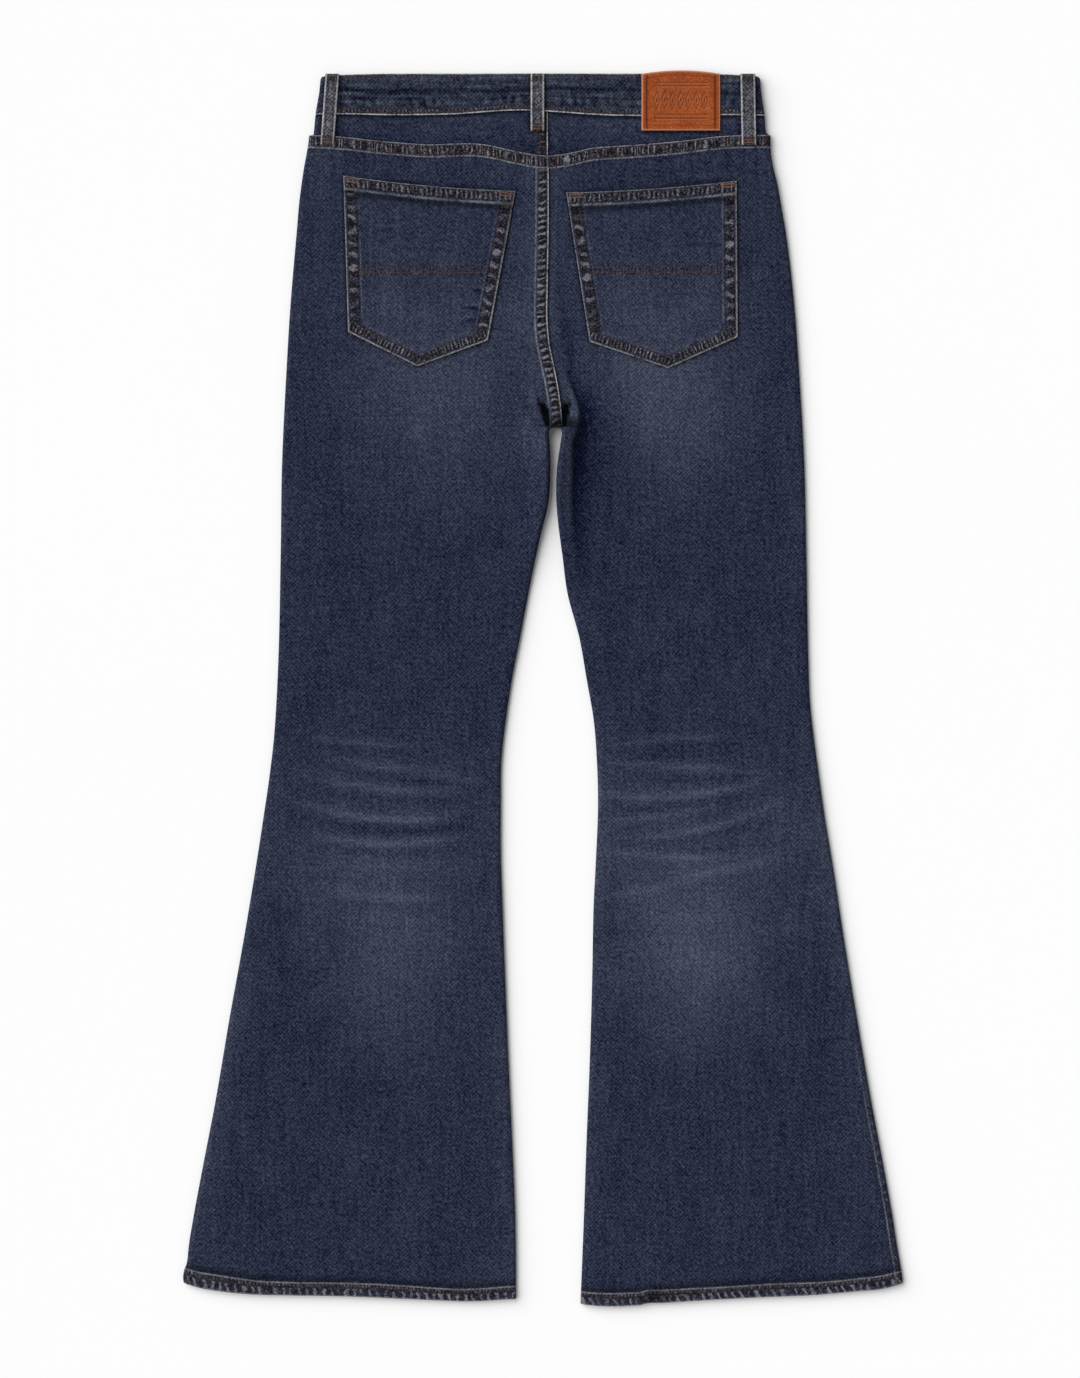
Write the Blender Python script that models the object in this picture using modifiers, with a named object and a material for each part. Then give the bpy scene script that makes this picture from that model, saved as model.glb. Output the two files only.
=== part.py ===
"""Flared jeans laid flat with the back side up.

Every cloth piece is a wall: one open grid shaped to its place on the garment and thickened by
Solidify. Sizes are in millimetres. "down" is measured from the top of the waist towards the
hem, and "across" from the middle of the garment towards its right side, seen from above.
The legs are flattened tubes: the front panels lie on the floor and the back panels on them,
and both curve in towards each other at the silhouette, where their seam runs at mid height.
"""

import math
from typing import NamedTuple

import bmesh
import bpy
import numpy as np

OBJECT_NAME = "flared_jeans"
MM = 0.001

# Whole garment
FULL_LENGTH = 1154.4
HALF_HEIGHT = 3.0
EDGE_ROUND = 4.5
SEAM_GAP = 0.3
FRONT_GAP = 0.4
LEFT = -1
RIGHT = 1

# Cloth
WALL = 1.2
BAND_WALL = 2.0
HEM_WALL = 2.2
POCKET_WALL = 1.0
LOOP_WALL = 1.5
PATCH_WALL = 1.6
THICKEST = 4.0

# Rolled edge of the silhouette
LIP_LOW = 0.15
LIP_LOW_CROTCH = 0.6
CROTCH_REACH = 8.0
CROTCH_CORNER_SHARE = 0.4
LIP_HIGH = 0.8
EDGE_STEPS = (0.9, 2.6, EDGE_ROUND)

# The front of the waist stands on the button and the two front belt loops
LOOP_LIFT = 1.8
BUTTON_LIFT = 1.2
BUTTON_LIFT_WIDTH = 45.0
LIFT_FULL_DOWN = 75.0
LIFT_END_DOWN = 190.0

# Crotch, the small arch between the legs
CROTCH_ACROSS = 10.7
CROTCH_DOWN = 339.0
CROTCH_RADIUS = 6.07
CROTCH_TOP = CROTCH_DOWN - CROTCH_RADIUS

# Waistband
WAIST_TOP = 2.8
WAIST_CORNER_DROP = 2.6
BAND_WIDTH = 36.5
BAND_PROUD = 0.7
FRONT_DIP = 30.0
LAP_OUTER_END = 20.0
LAP_INNER_END = -18.0
LAP_STEP_START = 21.0
LAP_STEP_END = 29.0
LAP_RISE = 2.3
BACK_STATIONS = (185, 160, 130, 100, 70, 40, 10, -20, -50, -80, -110, -140, -165, -190)
FRONT_STATIONS_RIGHT = (44, 62, 80, 98, 116, 134, 152, 168, 182, 194)
FRONT_STATIONS_LEFT = (-200, -188, -174, -158, -140, -122, -104, -86, -68, -50, -32, -14, 4)
EDGE_ANGLES = (-90, -60, -30, 0, 30, 60, 90)

# Felled seams, hem and pocket relief
SEAM_RISE = 0.8
YOKE_BAND_LEFT = 11.0
YOKE_BAND_RIGHT = 9.0
SEAT_BAND = 13.0
HEM_BAND = 12.0
HEM_RISE = 0.8
BEVEL_RUN = 0.7

# Levels, along the length, of the rows of each panel
YOKE_LEVEL = 61.0
HEM_LEVEL = 1147.0
SCOOP_LEVEL = 42.0
YOKE_FADE = 140.0
SCOOP_FADE = 250.0
HEM_FADE = 150.0
BACK_LEVELS = (92, 122, 152, 182, 212, 244, 274, 298, 313, 323, 328.5, 331.3, CROTCH_TOP, 334.5,
               336.5, CROTCH_DOWN, 346, 360, 378, 400, 427, 457, 489, 521, 553, 582, 604, 615,
               626, 637, 648, 659, 670, 681, 693, 706, 720, 744, 768, 795, 830, 870, 912, 957,
               1002, 1048, 1094)
FRONT_LEVELS = (60, 92, 135, 190, 250, 300, 323, 331.3, CROTCH_TOP, 336.5, CROTCH_DOWN, 350,
                398, 455, 520, 590, 660, 740, 830, 930, 1030, 1094)

# Front pocket scoop
SCOOP_DEPTH = 75.0
SCOOP_SHARE = 0.5
FACING_RECESS = 0.5
FACING_ROWS = 6
FACING_TAPER = 60.0
YOKE_ROWS = 4

# Belt loops
LOOP_WIDTH = 13.0
LOOP_STAND = 0.8
LOOP_INSET = 0.4
FRONT_LOOP_TAIL = 9.0
STEP_OVER = 1.4
STEP_DOWN = 5.5
BACK_LOOP_CENTRE = -6.1
FRONT_LOOP_ACROSS = 95.0

# Zip and button
ZIP_TOP = 84.0
ZIP_BOTTOM = 190.0
ZIP_HALF_WIDTH = 14.0
CHAIN_HALF_WIDTH = 2.8
TAPE_WALL = 0.7
CHAIN_WALL = 1.9
SLIDER_SIZE = (8.0, 10.0, 2.6)
SLIDER_BEVEL = 0.6
BUTTON_RADIUS = 8.5
BUTTON_HEIGHT = 2.7
BUTTON_ACROSS = 2.0
BUTTON_DOWN = 51.0
BUTTON_SEGMENTS = 32


class OutlineRow(NamedTuple):
    """Outer edges of the garment at one level."""
    down: float
    left: float
    right: float


OUTLINE = (
    OutlineRow(5, -206.5, 200.0),
    OutlineRow(38, -212.5, 207.5),
    OutlineRow(55, -215.0, 209.5),
    OutlineRow(64, -219.0, 213.5),
    OutlineRow(102, -226.0, 218.5),
    OutlineRow(149, -231.0, 227.0),
    OutlineRow(214, -236.5, 234.5),
    OutlineRow(289, -241.0, 240.0),
    OutlineRow(363, -244.0, 244.0),
    OutlineRow(457, -245.5, 246.5),
    OutlineRow(550, -247.5, 248.5),
    OutlineRow(588, -249.5, 249.5),
    OutlineRow(625, -252.5, 253.0),
    OutlineRow(662, -257.0, 258.0),
    OutlineRow(700, -262.5, 263.5),
    OutlineRow(737, -268.0, 270.0),
    OutlineRow(812, -280.0, 282.0),
    OutlineRow(886, -293.5, 294.0),
    OutlineRow(961, -306.5, 306.5),
    OutlineRow(1036, -320.5, 320.5),
    OutlineRow(1110, -332.5, 333.5),
    OutlineRow(1132, -336.2, 336.2),
)


class InseamRow(NamedTuple):
    """Inner edges of the two legs at one level."""
    down: float
    left: float
    right: float


INSEAM = (
    InseamRow(CROTCH_DOWN, CROTCH_ACROSS - CROTCH_RADIUS, CROTCH_ACROSS + CROTCH_RADIUS),
    InseamRow(350, 5.5, 15.0),
    InseamRow(373, 6.0, 12.0),
    InseamRow(410, 3.0, 12.0),
    InseamRow(425, -0.5, 13.5),
    InseamRow(455, -7.0, 17.5),
    InseamRow(485, -13.0, 21.5),
    InseamRow(531, -21.5, 33.5),
    InseamRow(569, -29.0, 40.0),
    InseamRow(606, -34.5, 46.5),
    InseamRow(644, -38.5, 49.5),
    InseamRow(681, -39.0, 50.5),
    InseamRow(737, -39.0, 48.5),
    InseamRow(774, -37.5, 46.5),
    InseamRow(849, -34.5, 45.0),
    InseamRow(924, -31.5, 43.0),
    InseamRow(998, -28.0, 40.0),
    InseamRow(1073, -25.0, 37.5),
    InseamRow(1148, -24.5, 34.5),
)


class SeamRow(NamedTuple):
    """Place of the seat seam and of the centre front seam at one level."""
    down: float
    seat: float
    front: float


CENTRE_SEAMS = (
    SeamRow(40, 3.7, -2.0),
    SeamRow(120, 3.8, -1.5),
    SeamRow(200, 3.8, 0.0),
    SeamRow(236, 4.3, 1.5),
    SeamRow(275, 10.5, 4.5),
    SeamRow(313, 16.4, 8.5),
    SeamRow(322, 15.4, 9.5),
    SeamRow(CROTCH_TOP, CROTCH_ACROSS, CROTCH_ACROSS),
)


class CrossRow(NamedTuple):
    """Level of a line that runs across the garment."""
    across: float
    down: float


YOKE_LINE = (
    CrossRow(-220, 60.7),
    CrossRow(-190, 61.3),
    CrossRow(-140, 66.0),
    CrossRow(-97, 68.7),
    CrossRow(-60, 68.0),
    CrossRow(-41, 70.0),
    CrossRow(-13, 78.0),
    CrossRow(4, 79.5),
    CrossRow(14, 77.6),
    CrossRow(35, 74.0),
    CrossRow(90, 68.7),
    CrossRow(159, 61.5),
    CrossRow(214, 60.7),
)

BAND_LINE = (
    CrossRow(-216, 40.2),
    CrossRow(-110, 40.0),
    CrossRow(-50, 38.6),
    CrossRow(-4, 37.0),
    CrossRow(50, 39.0),
    CrossRow(110, 41.0),
    CrossRow(209, 42.0),
)

HEM_LINE = (
    CrossRow(-336, 1132.0),
    CrossRow(-323, 1135.7),
    CrossRow(-301, 1139.5),
    CrossRow(-245, 1144.2),
    CrossRow(-189, 1145.3),
    CrossRow(-110, 1148.2),
    CrossRow(-70, 1149.6),
    CrossRow(-25, 1147.4),
    CrossRow(34, 1152.2),
    CrossRow(58, 1154.4),
    CrossRow(92, 1152.6),
    CrossRow(136, 1149.8),
    CrossRow(204, 1146.0),
    CrossRow(248, 1144.2),
    CrossRow(293, 1140.4),
    CrossRow(316, 1138.0),
    CrossRow(336, 1132.0),
)


class Fold(NamedTuple):
    """A soft ridge, or a trough where its height is negative."""
    side: int
    across: float
    down: float
    turn: float
    length: float
    width: float
    height: float


FOLDS = (
    Fold(RIGHT, 30.5, 332, 96, 32, 4.5, 1.3),
    Fold(RIGHT, 30.5, 378, 94, 55, 4.5, -1.3),
    Fold(LEFT, -150, 625, 6, 62, 7.5, 0.6),
    Fold(LEFT, -140, 649, 5, 58, 7.5, 0.7),
    Fold(LEFT, -125, 671, 3, 75, 7.5, 0.8),
    Fold(LEFT, -130, 693, 3, 72, 7.0, 0.7),
    Fold(LEFT, -150, 719, 2, 60, 8.0, 0.6),
    Fold(LEFT, -170, 768, 5, 55, 9.0, 0.6),
    Fold(RIGHT, 130, 626, -4, 66, 7.5, 0.6),
    Fold(RIGHT, 138, 651, 2, 72, 7.5, 0.7),
    Fold(RIGHT, 135, 672, -5, 78, 7.5, 0.8),
    Fold(RIGHT, 150, 697, -9, 75, 7.0, 0.7),
    Fold(RIGHT, 155, 726, -6, 72, 8.0, 0.6),
    Fold(RIGHT, 158, 746, -4, 70, 8.0, 0.5),
)


class PocketShape(NamedTuple):
    """Corners of a back pocket as (across, down)."""
    name: str
    top_left: tuple
    top_middle: tuple
    top_right: tuple
    low_right: tuple
    tip: tuple
    low_left: tuple


POCKETS = (
    PocketShape("back_pocket_left", (-188.0, 98.0), (-113.0, 109.5), (-26.5, 112.5),
                (-51.0, 250.0), (-118.0, 274.5), (-182.5, 243.0)),
    PocketShape("back_pocket_right", (20.0, 115.0), (102.5, 112.0), (180.5, 103.0),
                (180.5, 248.0), (117.0, 276.5), (42.5, 252.0)),
)
POCKET_RISE = 0.4
POCKET_ACROSS = (0.0, 0.065, 0.072, 0.2, 0.35, 0.49, 0.65, 0.8, 0.928, 0.935, 1.0)
POCKET_DOWN = (0.0, 0.076, 0.082, 0.3, 0.52, 0.74, 0.918, 0.925, 1.0)


class LoopShape(NamedTuple):
    """A belt loop on the back: its middle at the waist and at its lower end."""
    name: str
    top_across: float
    low_across: float
    low_down: float


BACK_LOOPS = (
    LoopShape("belt_loop_centre_back", BACK_LOOP_CENTRE, BACK_LOOP_CENTRE, 56.6),
    LoopShape("belt_loop_back_left", -196.7, -201.2, 68.7),
    LoopShape("belt_loop_back_right", 190.6, 190.6, 68.4),
)
PATCH_LEFT = 91.0
PATCH_RIGHT = 164.5
PATCH_BOTTOM = 56.0
PATCH_CORNER = 3.2

COLOURS = {
    "denim": (0.026, 0.032, 0.058),
    "waistband_denim": (0.024, 0.027, 0.045),
    "loop_denim": (0.085, 0.08, 0.105),
    "leather": (0.28, 0.065, 0.02),
    "zip_tape": (0.02, 0.024, 0.045),
    "brass": (0.45, 0.3, 0.13),
    "copper": (0.42, 0.21, 0.12),
}


def smooth_step(share):
    """Ease from 0 to 1 with level ends."""
    share = min(max(share, 0.0), 1.0)
    return share * share * (3.0 - 2.0 * share)


class Curve:
    """Smooth curve through one column of a table, held level past its ends."""

    def __init__(self, rows, key, value):
        self.keys = np.array([getattr(row, key) for row in rows], dtype=float)
        self.values = np.array([getattr(row, value) for row in rows], dtype=float)
        self.slopes = np.gradient(self.values, self.keys)

    def __call__(self, key):
        key = min(max(key, self.keys[0]), self.keys[-1])
        index = int(np.searchsorted(self.keys, key, side="right")) - 1
        index = min(max(index, 0), len(self.keys) - 2)
        span = self.keys[index + 1] - self.keys[index]
        share = (key - self.keys[index]) / span
        start_weight = (1.0 + 2.0 * share) * (1.0 - share) ** 2
        end_weight = share * share * (3.0 - 2.0 * share)
        start_slope = share * (1.0 - share) ** 2 * span * self.slopes[index]
        end_slope = share * share * (share - 1.0) * span * self.slopes[index + 1]
        start = start_weight * self.values[index] + start_slope
        end = end_weight * self.values[index + 1] + end_slope
        return float(start + end)


outline_curves = {LEFT: Curve(OUTLINE, "down", "left"), RIGHT: Curve(OUTLINE, "down", "right")}
inseam_curves = {LEFT: Curve(INSEAM, "down", "left"), RIGHT: Curve(INSEAM, "down", "right")}
seam_curves = {"back": Curve(CENTRE_SEAMS, "down", "seat"),
               "front": Curve(CENTRE_SEAMS, "down", "front")}
yoke_line = Curve(YOKE_LINE, "across", "down")
band_line = Curve(BAND_LINE, "across", "down")
hem_line = Curve(HEM_LINE, "across", "down")


def inner_edge(side, face, down):
    """Across of a panel's inner edge: its centre seam, the crotch arch, then the inseam."""
    if down >= CROTCH_DOWN:
        return inseam_curves[side](down)
    if down >= CROTCH_TOP:
        reach = math.sqrt(max(CROTCH_RADIUS ** 2 - (CROTCH_DOWN - down) ** 2, 0.0))
        return CROTCH_ACROSS + side * max(reach, SEAM_GAP / 2.0)
    return seam_curves[face](down) + side * SEAM_GAP / 2.0


def edge_distance(side, across, down):
    """Distance from a point of one half to the silhouette of the garment."""
    distance = side * (outline_curves[side](down) - across)
    if down > CROTCH_DOWN:
        distance = min(distance, side * (across - inseam_curves[side](down)))
    else:
        radius = math.hypot(across - CROTCH_ACROSS, down - CROTCH_DOWN)
        distance = min(distance, radius - CROTCH_RADIUS)
    return max(distance, 0.0)


def edge_profile(distance):
    """Quarter ellipse from 0 at the silhouette to 1 where the cloth lies level."""
    share = 1.0 - min(distance, EDGE_ROUND) / EDGE_ROUND
    return math.sqrt(1.0 - share * share)


def front_height(across, down):
    """Height of the front's outer face over the floor."""
    run = LIFT_END_DOWN - LIFT_FULL_DOWN
    lift = smooth_step((LIFT_END_DOWN - down) / run)
    return lift * (LOOP_LIFT + BUTTON_LIFT * math.exp(-(across / BUTTON_LIFT_WIDTH) ** 2))


def middle_height(across, down):
    """Height of the silhouette's seam."""
    return front_height(across, down) + HALF_HEIGHT


def back_height(across, down):
    """Height of the back's outer face where it lies level."""
    return middle_height(across, down) + HALF_HEIGHT


def fold_height(side, across, down):
    """Sum of the folds at a point of one half."""
    total = 0.0
    for fold in FOLDS:
        if fold.side != side:
            continue
        turn = math.radians(fold.turn)
        run_across = across - fold.across
        run_down = down - fold.down
        along = run_across * math.cos(turn) + run_down * math.sin(turn)
        beside = run_down * math.cos(turn) - run_across * math.sin(turn)
        fade = math.exp(-(along / fold.length) ** 2 - (beside / fold.width) ** 2)
        total += fold.height * fade
    return total


def place(across, down, height):
    """Point in metres, with the origin under the middle of the garment."""
    return (across * MM, (FULL_LENGTH / 2.0 - down) * MM, height * MM)


def coloured(name, slot, roughness, metallic):
    """Principled material of one slot."""
    material = bpy.data.materials.new(slot)
    material.use_nodes = True
    shader = material.node_tree.nodes["Principled BSDF"]
    shader.inputs["Base Color"].default_value = (*COLOURS[name], 1.0)
    shader.inputs["Roughness"].default_value = roughness
    shader.inputs["Metallic"].default_value = metallic
    return material


def cloth_sheet(name, points, weights, up, outward):
    """Grid through rows of points, thickened by Solidify.

    points holds rows of places, weights the wall's thickness at each of them in millimetres.
    up is the sign that the mean normal has along Z: the front, with its lap, is the waistband's
    longer side. outward is True where the points are the wall's underside and it grows out.
    """
    row_count = len(points)
    column_count = len(points[0])
    shape = bmesh.new()
    bmesh.ops.create_grid(shape, x_segments=column_count - 1, y_segments=row_count - 1, size=1.0)
    layer = shape.verts.layers.deform.verify()
    for vert in shape.verts:
        column = round((vert.co.x + 1.0) / 2.0 * (column_count - 1))
        row = round((1.0 - vert.co.y) / 2.0 * (row_count - 1))
        vert.co = points[row][column]
        vert[layer][0] = min(weights[row][column] / THICKEST, 1.0)
    shape.normal_update()
    if sum(face.normal.z * face.calc_area() for face in shape.faces) * up < 0.0:
        bmesh.ops.reverse_faces(shape, faces=shape.faces)
    mesh = bpy.data.meshes.new(name)
    shape.to_mesh(mesh)
    shape.free()
    mesh.shade_smooth()
    mesh.set_sharp_from_angle(angle=math.radians(40.0))
    sheet = bpy.data.objects.new(name, mesh)
    parts.objects.link(sheet)
    sheet.vertex_groups.new(name="wall")
    wall = sheet.modifiers.new("wall", "SOLIDIFY")
    wall.thickness = THICKEST * MM
    wall.offset = 1.0 if outward else -1.0
    wall.vertex_group = "wall"
    wall.use_even_offset = False
    return sheet


def seat_offsets(side, face):
    """Distances of the inner columns from a centre seam, from the outside inwards."""
    if face == "back" and side == LEFT:
        return (SEAT_BAND + BEVEL_RUN, SEAT_BAND, 6.5, 1.5, 0.0)
    if face == "back":
        return (26.0, 18.5, 14.0, 9.5, 6.0, 4.0, 2.0, 1.0, 0.0)
    return (EDGE_ROUND, 2.6, 1.2, 0.5, 0.0)


def leg_offsets(side, face):
    """Distances of the inner columns from the inseam, the last two at the rolled edge."""
    rolled = (*reversed(EDGE_STEPS), 0.0, 0.0)
    if face == "back" and side == RIGHT:
        return (26.0, 18.5, 14.0, 9.5) + rolled
    return rolled


OUTER_OFFSETS = (0.0, 0.0) + EDGE_STEPS
BACK_SHARES = {LEFT: (0.13, 0.28, 0.44, 0.6, 0.76, 0.9), RIGHT: (0.13, 0.3, 0.48, 0.66, 0.82)}
FRONT_SHARES = (0.1, 0.2, 0.3, 0.38, 0.44, 0.475, 0.493, SCOOP_SHARE, 0.62, 0.74, 0.87)
FACING_COLUMNS = len(OUTER_OFFSETS) + 7


def scoop_drop(share):
    """How far below the waistband the front's upper edge lies, by the share of its width."""
    if share >= SCOOP_SHARE:
        return 0.0
    return SCOOP_DEPTH * math.sqrt(1.0 - (share / SCOOP_SHARE) ** 2)


def front_dip(across):
    """How far the front's waist lies below the back's."""
    outer = outline_curves[RIGHT if across > 0 else LEFT](SCOOP_LEVEL)
    return FRONT_DIP * (1.0 - min((across / outer) ** 2, 1.0)) ** 2


def front_top(across, share):
    """Level of the front panel's upper edge."""
    return band_line(across) + front_dip(across) + FRONT_GAP + scoop_drop(share)


def row_down(side, face, level, across, share):
    """Level of a row at one place: rows follow the top edge, run level, then follow the hem."""
    if face == "back":
        rise = yoke_line(across) + SEAM_GAP / 2.0 - YOKE_LEVEL
        held = YOKE_LEVEL + YOKE_BAND_LEFT + BEVEL_RUN
        fade = YOKE_FADE
    else:
        rise = front_top(across, share) - SCOOP_LEVEL
        held = SCOOP_LEVEL
        fade = SCOOP_FADE
    top_weight = 1.0 - min(max((level - held) / fade, 0.0), 1.0)
    bottom_weight = 1.0 - min(max((HEM_LEVEL - HEM_BAND - 1.0 - level) / HEM_FADE, 0.0), 1.0)
    return level + top_weight * rise + bottom_weight * (hem_line(across) - HEM_LEVEL)


def settled(side, face, level, edge, share):
    """Across and down of a row's end on an edge."""
    across = edge(level)
    for _ in range(4):
        down = row_down(side, face, level, across, share)
        across = edge(down)
    return across, row_down(side, face, level, across, share)


def row_places(side, face, level, shares):
    """Places of one row: a list of (across, down, distance from the centre edge, is a leg)."""
    is_leg = level >= CROTCH_TOP
    inner_steps = leg_offsets(side, face) if is_leg else seat_offsets(side, face)
    outer, _ = settled(side, face, level, outline_curves[side], 0.0)
    inner, _ = settled(side, face, level, lambda down: inner_edge(side, face, down), 1.0)
    width = abs(inner - outer)
    stations = [offset / width for offset in OUTER_OFFSETS]
    stations += list(shares)
    stations += [1.0 - offset / width for offset in inner_steps]
    places = []
    for share in stations:
        across = outer + (inner - outer) * share
        places.append((across, row_down(side, face, level, across, share), (1.0 - share) * width))
    return places, is_leg


def lip_height(column, count, is_leg, level):
    """Height over the seam's level that a column of the rolled edge is held at, or None."""
    near_crotch = abs(level - CROTCH_TOP) < CROTCH_REACH and column > 1
    low = LIP_LOW_CROTCH if near_crotch else LIP_LOW
    if column == 0 or (is_leg and column == count - 1):
        return low
    if column == 1 or (is_leg and column == count - 2):
        return LIP_HIGH
    return None


def wall_height(side, across, down, lip, drop):
    """Height of a wall's outer face away from the seam's level."""
    level = HALF_HEIGHT - drop
    if lip is not None and lip < LIP_HIGH:
        return lip
    height = level * edge_profile(edge_distance(side, across, down))
    return max(height, LIP_HIGH if lip is not None else LIP_LOW_CROTCH)


def corner_share(level, column, count):
    """Share of the wall's thickness that is left at the crotch's sharp corner."""
    at_corner = column >= count - 3 and CROTCH_TOP <= level < CROTCH_TOP + 1.0
    return CROTCH_CORNER_SHARE if at_corner else 1.0


def back_relief(side, level, from_seam, is_leg):
    """Rise of the felled seams and the hem, and how much thicker the hem is inside."""
    band = YOKE_BAND_LEFT if side == LEFT else YOKE_BAND_RIGHT
    if level <= YOKE_LEVEL + band - 0.1:
        return SEAM_RISE, 0.0
    if HEM_LEVEL - level <= HEM_BAND + 0.1:
        return HEM_RISE, HEM_WALL - WALL - HEM_RISE
    if side == LEFT and not is_leg and from_seam <= SEAT_BAND + 0.1:
        return SEAM_RISE, 0.0
    return 0.0, 0.0


def back_panel(side, name):
    """Back of one leg, from the yoke seam to the hem."""
    band = YOKE_BAND_LEFT if side == LEFT else YOKE_BAND_RIGHT
    levels = [YOKE_LEVEL, YOKE_LEVEL + band - BEVEL_RUN, YOKE_LEVEL + band]
    levels += list(BACK_LEVELS)
    levels += [HEM_LEVEL - HEM_BAND - BEVEL_RUN, HEM_LEVEL - HEM_BAND, HEM_LEVEL - 5.0, HEM_LEVEL]
    points = []
    weights = []
    for level in levels:
        places, is_leg = row_places(side, "back", level, BACK_SHARES[side])
        point_row = []
        weight_row = []
        for column, (across, down, from_seam) in enumerate(places):
            lip = lip_height(column, len(places), is_leg, level)
            rise, inside = back_relief(side, level, from_seam, is_leg)
            flat = edge_profile(edge_distance(side, across, down))
            height = middle_height(across, down) + wall_height(side, across, down, lip, 0.0)
            height += (rise + fold_height(side, across, down)) * (flat if lip is None else 0.0)
            point_row.append(place(across, down, height))
            corner = corner_share(level, column, len(places))
            weight_row.append((WALL + (rise + inside) * flat) * corner)
        points.append(point_row)
        weights.append(weight_row)
    return cloth_sheet(name, points, weights, 1.0, False)


def front_panel(side, name):
    """Front of one leg, from the waistband and the pocket scoop to the hem."""
    levels = [SCOOP_LEVEL, *FRONT_LEVELS]
    levels += [HEM_LEVEL - HEM_BAND - BEVEL_RUN, HEM_LEVEL - HEM_BAND, HEM_LEVEL]
    points = []
    weights = []
    for level in levels:
        places, is_leg = row_places(side, "front", level, FRONT_SHARES)
        point_row = []
        weight_row = []
        for column, (across, down, _) in enumerate(places):
            lip = lip_height(column, len(places), is_leg, level)
            flat = edge_profile(edge_distance(side, across, down))
            depth = wall_height(side, across, down, lip, 0.0)
            point_row.append(place(across, down, middle_height(across, down) - depth))
            inside = HEM_WALL - WALL if HEM_LEVEL - level <= HEM_BAND + 0.1 else 0.0
            corner = corner_share(level, column, len(places))
            weight_row.append((WALL + inside * flat) * corner)
        points.append(point_row)
        weights.append(weight_row)
    return cloth_sheet(name, points, weights, -1.0, False)


def front_pocket_facing(side, name):
    """Cloth that shows in one front pocket's scoop, a little deeper than the front panel."""
    edge_places, _ = row_places(side, "front", SCOOP_LEVEL, FRONT_SHARES)
    scoop_outer = edge_places[0][0]
    points = []
    for row in range(FACING_ROWS):
        share = row / (FACING_ROWS - 1)
        point_row = []
        for column, (edge_across, edge_down, _) in enumerate(edge_places[:FACING_COLUMNS]):
            beside = max(1.0 - abs(edge_across - scoop_outer) / FACING_TAPER, 0.0)
            across = edge_across
            for _ in range(4):
                top = front_top(across, 1.0)
                down = top + (edge_down - SEAM_GAP - top) * share
                across = edge_across + (outline_curves[side](down) - scoop_outer) * beside
            lip = lip_height(column, len(edge_places), False, SCOOP_LEVEL)
            depth = wall_height(side, across, down, lip, FACING_RECESS)
            point_row.append(place(across, down, middle_height(across, down) - depth))
        points.append(point_row)
    weights = [[WALL] * len(points[0]) for _ in points]
    return cloth_sheet(name, points, weights, -1.0, False)


def yoke(side, name):
    """One half of the back yoke, on the same columns as the panel's top edge."""
    edge_places, _ = row_places(side, "back", YOKE_LEVEL, BACK_SHARES[side])
    edge_outer = edge_places[0][0]
    points = []
    weights = []
    for row in range(YOKE_ROWS):
        share = row / (YOKE_ROWS - 1)
        point_row = []
        weight_row = []
        for column, (edge_across, edge_down, from_seam) in enumerate(edge_places):
            beside = max(1.0 - abs(edge_across - edge_outer) / FACING_TAPER, 0.0)
            across = edge_across
            for _ in range(4):
                top = band_line(across) + SEAM_GAP
                down = top + (edge_down - SEAM_GAP - top) * share
                across = edge_across + (outline_curves[side](down) - edge_outer) * beside
            lip = lip_height(column, len(edge_places), False, YOKE_LEVEL)
            on_band = side == LEFT and from_seam <= SEAT_BAND + 0.1
            rise = SEAM_RISE if on_band else 0.0
            height = middle_height(across, down) + wall_height(side, across, down, lip, 0.0)
            point_row.append(place(across, down, height + rise))
            weight_row.append(WALL + rise)
        points.append(point_row)
        weights.append(weight_row)
    return cloth_sheet(name, points, weights, 1.0, False)


def band_edges(across):
    """Levels of the waistband's top and lower edge at its back."""
    reach = min(abs(across + 3.0) / 204.0, 1.0)
    return WAIST_TOP + WAIST_CORNER_DROP * reach ** 8, band_line(across)


def waistband():
    """One strip all round, from the inner end of the front lap to the outer end."""
    turn = [math.radians(angle) for angle in EDGE_ANGLES]
    stations = [("front", LAP_INNER_END, LAP_RISE), ("front", 4.0, LAP_RISE)]
    stations += [("front", LAP_STEP_START, LAP_RISE), ("front", LAP_STEP_END, 0.0)]
    stations += [("front", across, 0.0) for across in FRONT_STATIONS_RIGHT]
    stations += [("right", angle, 0.0) for angle in turn]
    stations += [("back", across, 0.0) for across in BACK_STATIONS]
    stations += [("left", angle, 0.0) for angle in reversed(turn)]
    stations += [("front", across, 0.0) for across in FRONT_STATIONS_LEFT]
    stations += [("front", LAP_OUTER_END, 0.0)]
    points = []
    for row in (0.0, 0.5, 1.0):
        point_row = []
        for kind, value, rise in stations:
            across = value
            side = RIGHT if kind == "right" else LEFT
            outer = outline_curves[side](5.0 + BAND_WIDTH * row)
            if kind in ("left", "right"):
                across = outer - side * EDGE_ROUND * (1.0 - math.cos(value))
            top, low = band_edges(across)
            down = top + (low - top) * row
            if kind == "front":
                down += front_dip(across)
            low_height = front_height(across, down)
            high_height = back_height(across, down) + BAND_PROUD
            if kind == "front":
                height = low_height + rise
            elif kind == "back":
                height = high_height
            else:
                half = (high_height - low_height) / 2.0
                height = low_height + half + half * math.sin(value)
            point_row.append(place(across, down, height))
        points.append(point_row)
    weights = [[BAND_WALL] * len(stations) for _ in points]
    return cloth_sheet("waistband", points, weights, -1.0, False)


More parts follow.
